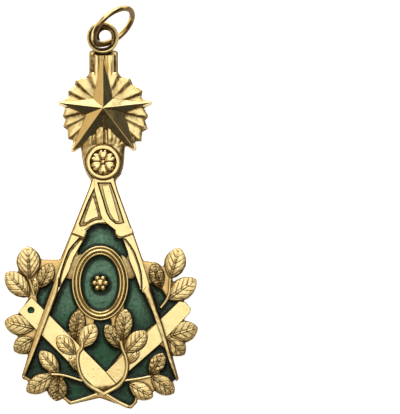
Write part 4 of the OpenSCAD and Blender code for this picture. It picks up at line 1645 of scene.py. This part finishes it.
@dataclass
class Sprigs(Part):
    """The leafy sprigs: veined leaves on rounded stems.

    Attributes:
        rib: how wide the midrib's flank is.
        shaded: how much painted shade each darker leaf gets, by its number; it also scales how
            rough each leaf's face is.
        leaves: each sprig's leaves, as base, tip, width and height of the edge.
        stems: each stem's radius and path.
    """

    crown: float = 0.42
    roughness: float = 0.09
    groove: float = 0.07
    vein_width: float = 0.085
    vein_depth: float = 0.10
    rib: float = 0.12
    root: float = 1.0
    along: int = 84
    across: int = 48
    stem_level: float = 2.55
    base_darkening: Fade = (0.34, 0.42, 0.0)
    rim_shade: Fade = (0.65, 0.84, 0.97)
    rib_shade: Fade = (0.40, 0.98, 0.5)
    vein_shade: float = 0.50
    shaded: dict[int, float] = field(default_factory=lambda: {
        3: 0.30, 5: 0.15, 6: 0.22, 8: 0.25, 9: 0.50, 10: 0.50, 14: 0.28, 15: 0.42, 18: 0.40,
        19: 0.22, 23: 0.50, 24: 0.22, 25: 0.30})
    leaves: tuple[tuple[str, tuple[tuple[float, ...], ...]], ...] = (
        ("sprig_upper_left", (
            (-14, -14.2, -14.5, -7.8, 4.9, 2.5), (-14.1, -17.7, -18.8, -13, 4.2, 2.3),
            (-12.2, -16.1, -9.7, -11.2, 3.4, 2.3), (-12.7, -17.5, -13, -14.1, 1.4, 2.4))),
        ("sprig_side_left", (
            (-13.1, -24.1, -19.1, -22.8, 4.2, 2.3), (-13.3, -26.2, -17.2, -28.6, 3.7, 2.2))),
        ("sprig_foot_left", (
            (-8.3, -33, -12, -28.7, 3.4, 2.5), (-9.2, -33.4, -14.7, -36.7, 3.8, 2.4),
            (-8.2, -33.6, -8.8, -38.6, 4.2, 2.3))),
        ("sprig_middle_left", (
            (-5.1, -26.6, -4.2, -20.4, 3.5, 2.3), (-4, -28, -1, -23.4, 3.8, 2.6),
            (-4.9, -29.3, -8.6, -25.7, 3.3, 2.7), (-4.6, -32.6, -6.1, -29.6, 1.5, 2.6))),
        ("sprig_middle_right", (
            (4.3, -26.6, 5.1, -20.3, 3.7, 2.6), (4.1, -28.2, 1.1, -23.4, 3.1, 2.3),
            (5, -28.9, 9.2, -24.7, 3.8, 2.7), (5.4, -31.3, 7.8, -28.8, 1.5, 2.6))),
        ("sprig_foot_right", (
            (10, -33.4, 12.6, -29.1, 3.3, 2.5), (10.2, -33.7, 14.7, -37, 3.8, 2.4),
            (5.8, -35.2, 10.4, -37.9, 3.5, 2.4))),
        ("sprig_upper_right", (
            (14, -14.1, 15.8, -8.1, 4.3, 2.5), (13.5, -18.3, 19.1, -14.4, 4.2, 2.5),
            (12.1, -16.3, 10.6, -11.1, 3.1, 2.3))),
        ("sprig_side_right", (
            (14, -25.6, 19.4, -24, 4.2, 2.3), (13.5, -26.2, 16.8, -29.3, 3.6, 2.2))))
    stems: tuple[tuple[float, tuple[Point, ...]], ...] = (
        (0.42, ((0.8, -37.3), (-3, -34.7), (-4.4, -31.5), (-4.3, -29), (-3.6, -27.9),
                (-4.0, -25.5))),
        (0.42, ((0.7, -37.3), (4, -35.2), (5.2, -33), (5.2, -30.1), (4.4, -28), (4.1, -26.6))),
        (0.26, ((-3.6, -34.6), (-7.8, -33.4), (-9.7, -33.3))),
        (0.26, ((4.4, -34.6), (8, -34.1), (9.9, -33.7))),
        (0.26, ((-0.6, -37.2), (-3.4, -38.2), (-5.8, -38.9))),
        (0.40, ((1.2, -37.3), (3.8, -38.9), (5.5, -39.7))),
        (0.30, ((-14.1, -14.4), (-13.2, -17.4))),
        (0.30, ((14, -14.1), (13.5, -17.9), (12.1, -20))))

    def vein(self, x: Array, y: Array, length: float, veins: int, slant: float) -> Array:
        """How deep in one of a leaf's side veins each place lies, from 0 to 1."""
        phase = ((x - slant * np.abs(y) - 0.10 * y * y) / length * veins + 0.15) % 1
        return np.exp(-((phase - 0.5) * length / veins / self.vein_width) ** 2)

    @staticmethod
    def half_width(width: float, share: Array) -> Array:
        """Half a leaf's width at each share of its length."""
        return width / 2 * np.sin(math.pi * share ** 1.12) ** 0.62

    def leaf(self, number: int, row: tuple[float, ...]) -> Piece:
        """One leaf: two domed halves, a midrib groove and slanting side veins.

        Args:
            number: the leaf's number, which varies its veins.
            row: base, tip, width and height of the edge.

        Returns:
            The leaf.
        """
        base_x, base_y, tip_x, tip_y, width, edge = row
        length = math.hypot(tip_x - base_x, tip_y - base_y)
        angle = math.atan2(tip_y - base_y, tip_x - base_x)
        veins = max(3, round(length / 1.3))
        slant = 1.0 + 0.12 * math.sin(number * 2.3)
        roll = 0.05 * math.sin(number * 1.7)

        def surface(u: Array, v: Array) -> Places:
            """The leaf's upper face.

            Args:
                u: the share of its length.
                v: the share across, from -1 to 1.

            Returns:
                The places.
            """
            u = np.clip(u, 1e-6, 1 - 1e-6)
            x, y = u * length, v * self.half_width(width, u)
            crown = self.crown * np.sin(math.pi * u) ** 0.6
            line = self.vein(x, y, length, veins, slant)
            inner = (1 - np.abs(v) ** 5) * smooth_step(0.03, 0.15, u) * smooth_step(0.98, 0.86, u)
            z = edge + crown * (1 - np.abs(v) ** 5)
            z += 0.05 * np.exp(-((np.abs(v) - 0.86) / 0.06) ** 2) * smooth_step(0.05, 0.3, u)
            z -= inner * self.vein_depth * line
            rib = np.abs(y) / self.rib
            z += smooth_step(0.98, 0.55, u) * (0.08 * np.exp(-rib ** 2)
                                               - self.groove * np.exp(-(rib - 1.8) ** 2 / 0.7))
            z += roll * y + 0.012 * ripple(x, y, 1.4, number)
            z += self.roughness * self.shaded.get(number, 0.1) * ripple(x, y, 0.75, number + 50)
            return x, y, z

        leaf = Bench.relief("leaf", self.along, self.across, self.root, surface)
        x, y, _ = Bench.corners(leaf).T
        share = np.clip(x / length, 1e-6, 1 - 1e-6)
        beside_rib = np.exp(-(np.abs(y) / self.rib - 1.8) ** 2 / 0.9)
        outwards = np.abs(y) / np.maximum(self.half_width(width, share), 0.05)
        # Painted shade on the darker leaves, the rims, beside the midrib and in the veins; darker
        # towards the base.
        Bench.stain_and_shade(leaf, self.shaded.get(number, 0) + fade(self.base_darkening, x / length)
                    + fade(self.rim_shade, outwards) + fade(self.rib_shade, share) * beside_rib
                    + self.vein_shade * self.vein(x, y, length, veins, slant))
        leaf.data.transform(Matrix.Translation((base_x, base_y, 0))
                            @ Matrix.Rotation(angle, 4, "Z"))
        return leaf

    def build(self) -> None:
        """Builds every sprig and the stems."""
        satin = self.shop.finishes.satin
        number = 0
        for name, rows in self.leaves:
            leaves = [self.leaf(number + i, row) for i, row in enumerate(rows, 1)]
            number += len(rows)
            self.shop.deliver(Bench.join(name, leaves), satin, angle=50)
        bars = [Bench.tube("stem", [(x, y, self.stem_level) for x, y in points], radius)
                for radius, points in self.stems]
        self.shop.deliver(Bench.join("stems", bars), satin, angle=60)


# Enamel and jump ring


@dataclass
class Enamel(Part):
    """The fired enamel in each cell, climbing a little at its walls, with a painted shadow along
    them.

    Attributes:
        wall: the rise of a normal below which a corner is on a wall.
        skin: how far under the highest corner the upper face reaches.
        light: how much the y and the x of the way to a wall count as towards the light.
        dark_from: how near a wall the painted shadow border ends, and how much farther on a lit
            side.
        dark_full: how near a wall the painted shadow is full, and how much farther on a lit side.
        waves: the height, length and first seed of each set of ripples.
    """

    grain: float = 0.13
    spread: float = 0.12
    climb: float = 0.19
    climb_reach: float = 0.28
    sink: float = 0.06
    level: float = 2.05
    wall: float = 0.6
    skin: float = 0.2
    light: Point = (1, 0.5)
    dark_from: Point = (0.66, 0.56)
    dark_full: Point = (0.36, 0.40)
    waves: tuple[tuple[float, float, int], ...] = ((0.030, 2.6, 40), (0.012, 0.9, 60))
    nodes: tuple[str, ...] = field(default_factory=lambda: tuple(
        sorted(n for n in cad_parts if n.startswith("enamel_"))))

    def filling(self, number: int, node: str) -> Piece:
        """One filling, shaped from its CAD solid.

        Args:
            number: its number, which seeds its ripples.
            node: the CAD node.

        Returns:
            The filling.
        """
        piece = Bench.copy_of_node(node, node + "_glass")
        Bench.modify(piece, "REMESH", mode="VOXEL", voxel_size=self.grain)
        with Bench.editing(piece):
            bpy.ops.transform.shrink_fatten(value=self.spread)
        places = Bench.corners(piece)
        walls = places[np.abs(Bench.corners(piece, "normal")[:, 2]) < self.wall]
        tree = kdtree.KDTree(len(walls))
        for i, (x, y, _) in enumerate(walls):
            tree.insert((x, y, 0), i)
        tree.balance()
        upper = places[:, 2] > places[:, 2].max() - self.skin
        x, y = places[upper, 0], places[upper, 1]
        near = np.array([tree.find((a, b, 0))[0][:2] for a, b in zip(x, y)])
        away = np.hypot(near[:, 0] - x, near[:, 1] - y)
        towards = self.light[0] * (near[:, 1] - y) - self.light[1] * (near[:, 0] - x)
        lit = np.clip(towards / (away + 0.01), 0, 1)
        # Painted shadow along the walls, wider where the wall lies towards the light; stored for
        # the enamel finish.
        shades = np.ones(len(places))
        shades[upper] = smooth_step(self.dark_from[0] + self.dark_from[1] * lit,
                                    self.dark_full[0] + self.dark_full[1] * lit, away)
        z = self.level - self.sink + self.climb * np.exp(-(away / self.climb_reach))
        for height, length, seed in self.waves:
            z = z + height * ripple(x, y, length, seed + number)
        places[upper, 2] = z
        Bench.move_corners(piece, places)
        Bench.stain_and_shade(piece, shades)
        return piece

    def build(self) -> None:
        """Builds every filling."""
        for number, node in enumerate(self.nodes):
            finishes = self.shop.finishes
            glass = finishes.speck if node == "enamel_dot" else finishes.enamel
            self.shop.deliver(self.filling(number, node), glass, nodes=(node,),
                              slot=Slot.ENAMEL, angle=50)


@dataclass
class JumpRing(Part):
    """The plain wire ring through the eye, leaning on the surface."""

    eye: Point = (0.5, 33.9)
    from_eye: Point = (2.1, 2.15)
    radius: float = 4.7
    wire: float = 0.58
    lean: float = 63
    turn: float = 41.3
    away_from_light: Triple = (0.75, -0.66, 0.0)
    turned_away_shade: Fade = (1.1, 0.0, 0.60)
    under_shade: Fade = (0.55, 0.5, 0.15)

    def build(self) -> None:
        """Builds the ring."""
        Bench.clear()
        bpy.ops.mesh.primitive_torus_add(major_segments=144, minor_segments=32,
                                         major_radius=self.radius, minor_radius=self.wire)
        ring = Bench.named("wire_ring")
        places = Bench.corners(ring)
        core = places * (1, 1, 0)
        core *= self.radius / np.linalg.norm(core, axis=1)[:, None]
        turned = (Matrix.Rotation(math.radians(self.turn), 4, "Z")
                  @ Matrix.Rotation(math.radians(self.lean), 4, "X"))
        facing = (places - core) / self.wire @ np.array(turned.to_3x3()).T
        # Painted shade on the side of the wire turned from the light and on its underside.
        Bench.stain_and_shade(ring, fade(self.turned_away_shade, facing @ np.array(self.away_from_light))
                    + fade(self.under_shade, facing[:, 2]))
        height = self.radius * math.sin(math.radians(self.lean)) + self.wire
        ring.data.transform(Matrix.Translation((
            self.eye[0] + self.from_eye[0], self.eye[1] + self.from_eye[1], height)) @ turned)
        self.shop.deliver(ring, self.shop.finishes.polished, nodes=("jump_ring",),
                          slot=Slot.WIRE, angle=60)


# Studio


@dataclass(frozen=True)
class Light:
    """A soft rectangular light aimed at the medal.

    Attributes:
        name: its name.
        place: where it stands, in metres.
        size: its width and height in metres.
        glow: how bright its face is.
        colour: its colour.
    """

    name: str
    place: Triple
    size: Point
    glow: float
    colour: Colour = (1, 1, 1)

    def build(self) -> None:
        """Sets the light up."""
        data = bpy.data.lights.new(self.name, "AREA")
        data.shape = "RECTANGLE"
        data.size, data.size_y = self.size
        data.energy = 4 * self.glow * self.size[0] * self.size[1]
        data.color = self.colour
        lamp = bpy.data.objects.new(self.name, data)
        bpy.context.scene.collection.objects.link(lamp)
        lamp.location = self.place
        lamp.rotation_euler = (-Vector(self.place)).to_track_quat("-Z", "Y").to_euler()
        lamp.visible_camera = False


@dataclass
class Studio:
    """Plain pale floor, soft lights and the camera over the medal."""

    view_middle: Point = (19.9, 0.1)
    view_height: float = 82.8
    distance: float = 0.9
    sensor: float = 36.0
    floor_size: float = 3
    floor_colour: Colour = (0.88, 0.88, 0.89)
    floor_glow: float = 0.78
    sky: Colour = (0.85, 0.88, 0.92)
    sky_strength: float = 0.07
    lights: tuple[Light, ...] = (
        Light("overhead", (0.0, 0.12, 0.75), (0.55, 0.55), 0.86, (0.80, 0.91, 1.0)),
        Light("surround", (-0.10, 0.10, 0.85), (1.5, 1.5), 0.34, (1.0, 0.74, 0.46)),
        Light("north", (-0.05, 0.80, 0.39), (1.2, 0.64), 1.5),
        Light("west", (-0.77, 0.18, 0.42), (0.6, 0.5), 0.54, (1.0, 0.76, 0.50)),
        Light("glint", (-0.15, 0.66, 0.60), (0.40, 0.03), 14.0))

    def build(self) -> None:
        """Sets the floor, the lights and the camera."""
        scene = bpy.context.scene
        Bench.clear()
        bpy.ops.mesh.primitive_plane_add(size=self.floor_size)
        floor = Bench.named("floor")
        g = Graph("pale_floor")
        floor.data.materials.append(g.finish(g.add("BsdfPrincipled", {
            "Base Color": self.floor_colour, "Roughness": 0.8,
            "Emission Color": (1, 1, 1), "Emission Strength": self.floor_glow})))
        world = bpy.data.worlds.new("studio")
        scene.world = world
        world.use_nodes = True
        background = world.node_tree.nodes["Background"]
        background.inputs["Color"].default_value = (*self.sky, 1)
        background.inputs["Strength"].default_value = self.sky_strength
        for light in self.lights:
            light.build()
        data = bpy.data.cameras.new("camera")
        data.sensor_fit = "VERTICAL"
        data.sensor_height = self.sensor
        data.lens = self.sensor * self.distance / (self.view_height * MM)
        data.clip_start = 0.01
        camera = bpy.data.objects.new("camera", data)
        scene.collection.objects.link(camera)
        camera.location = (self.view_middle[0] * MM, self.view_middle[1] * MM, self.distance)
        scene.camera = camera
        scene.view_settings.view_transform = "Standard"


def main() -> None:
    """Builds the medal and its studio."""
    logging.basicConfig(level=logging.INFO, format="%(name)s: %(message)s")
    shop = Workshop(Finishes())
    for part in (BackPlate, Eye, Neck, Star, Fan, Boss, Compasses, SetSquare, OvalFrame, Sprigs,
                 Enamel, JumpRing):
        part(shop).build()
    Studio().build()


if __name__ == "__main__":
    main()
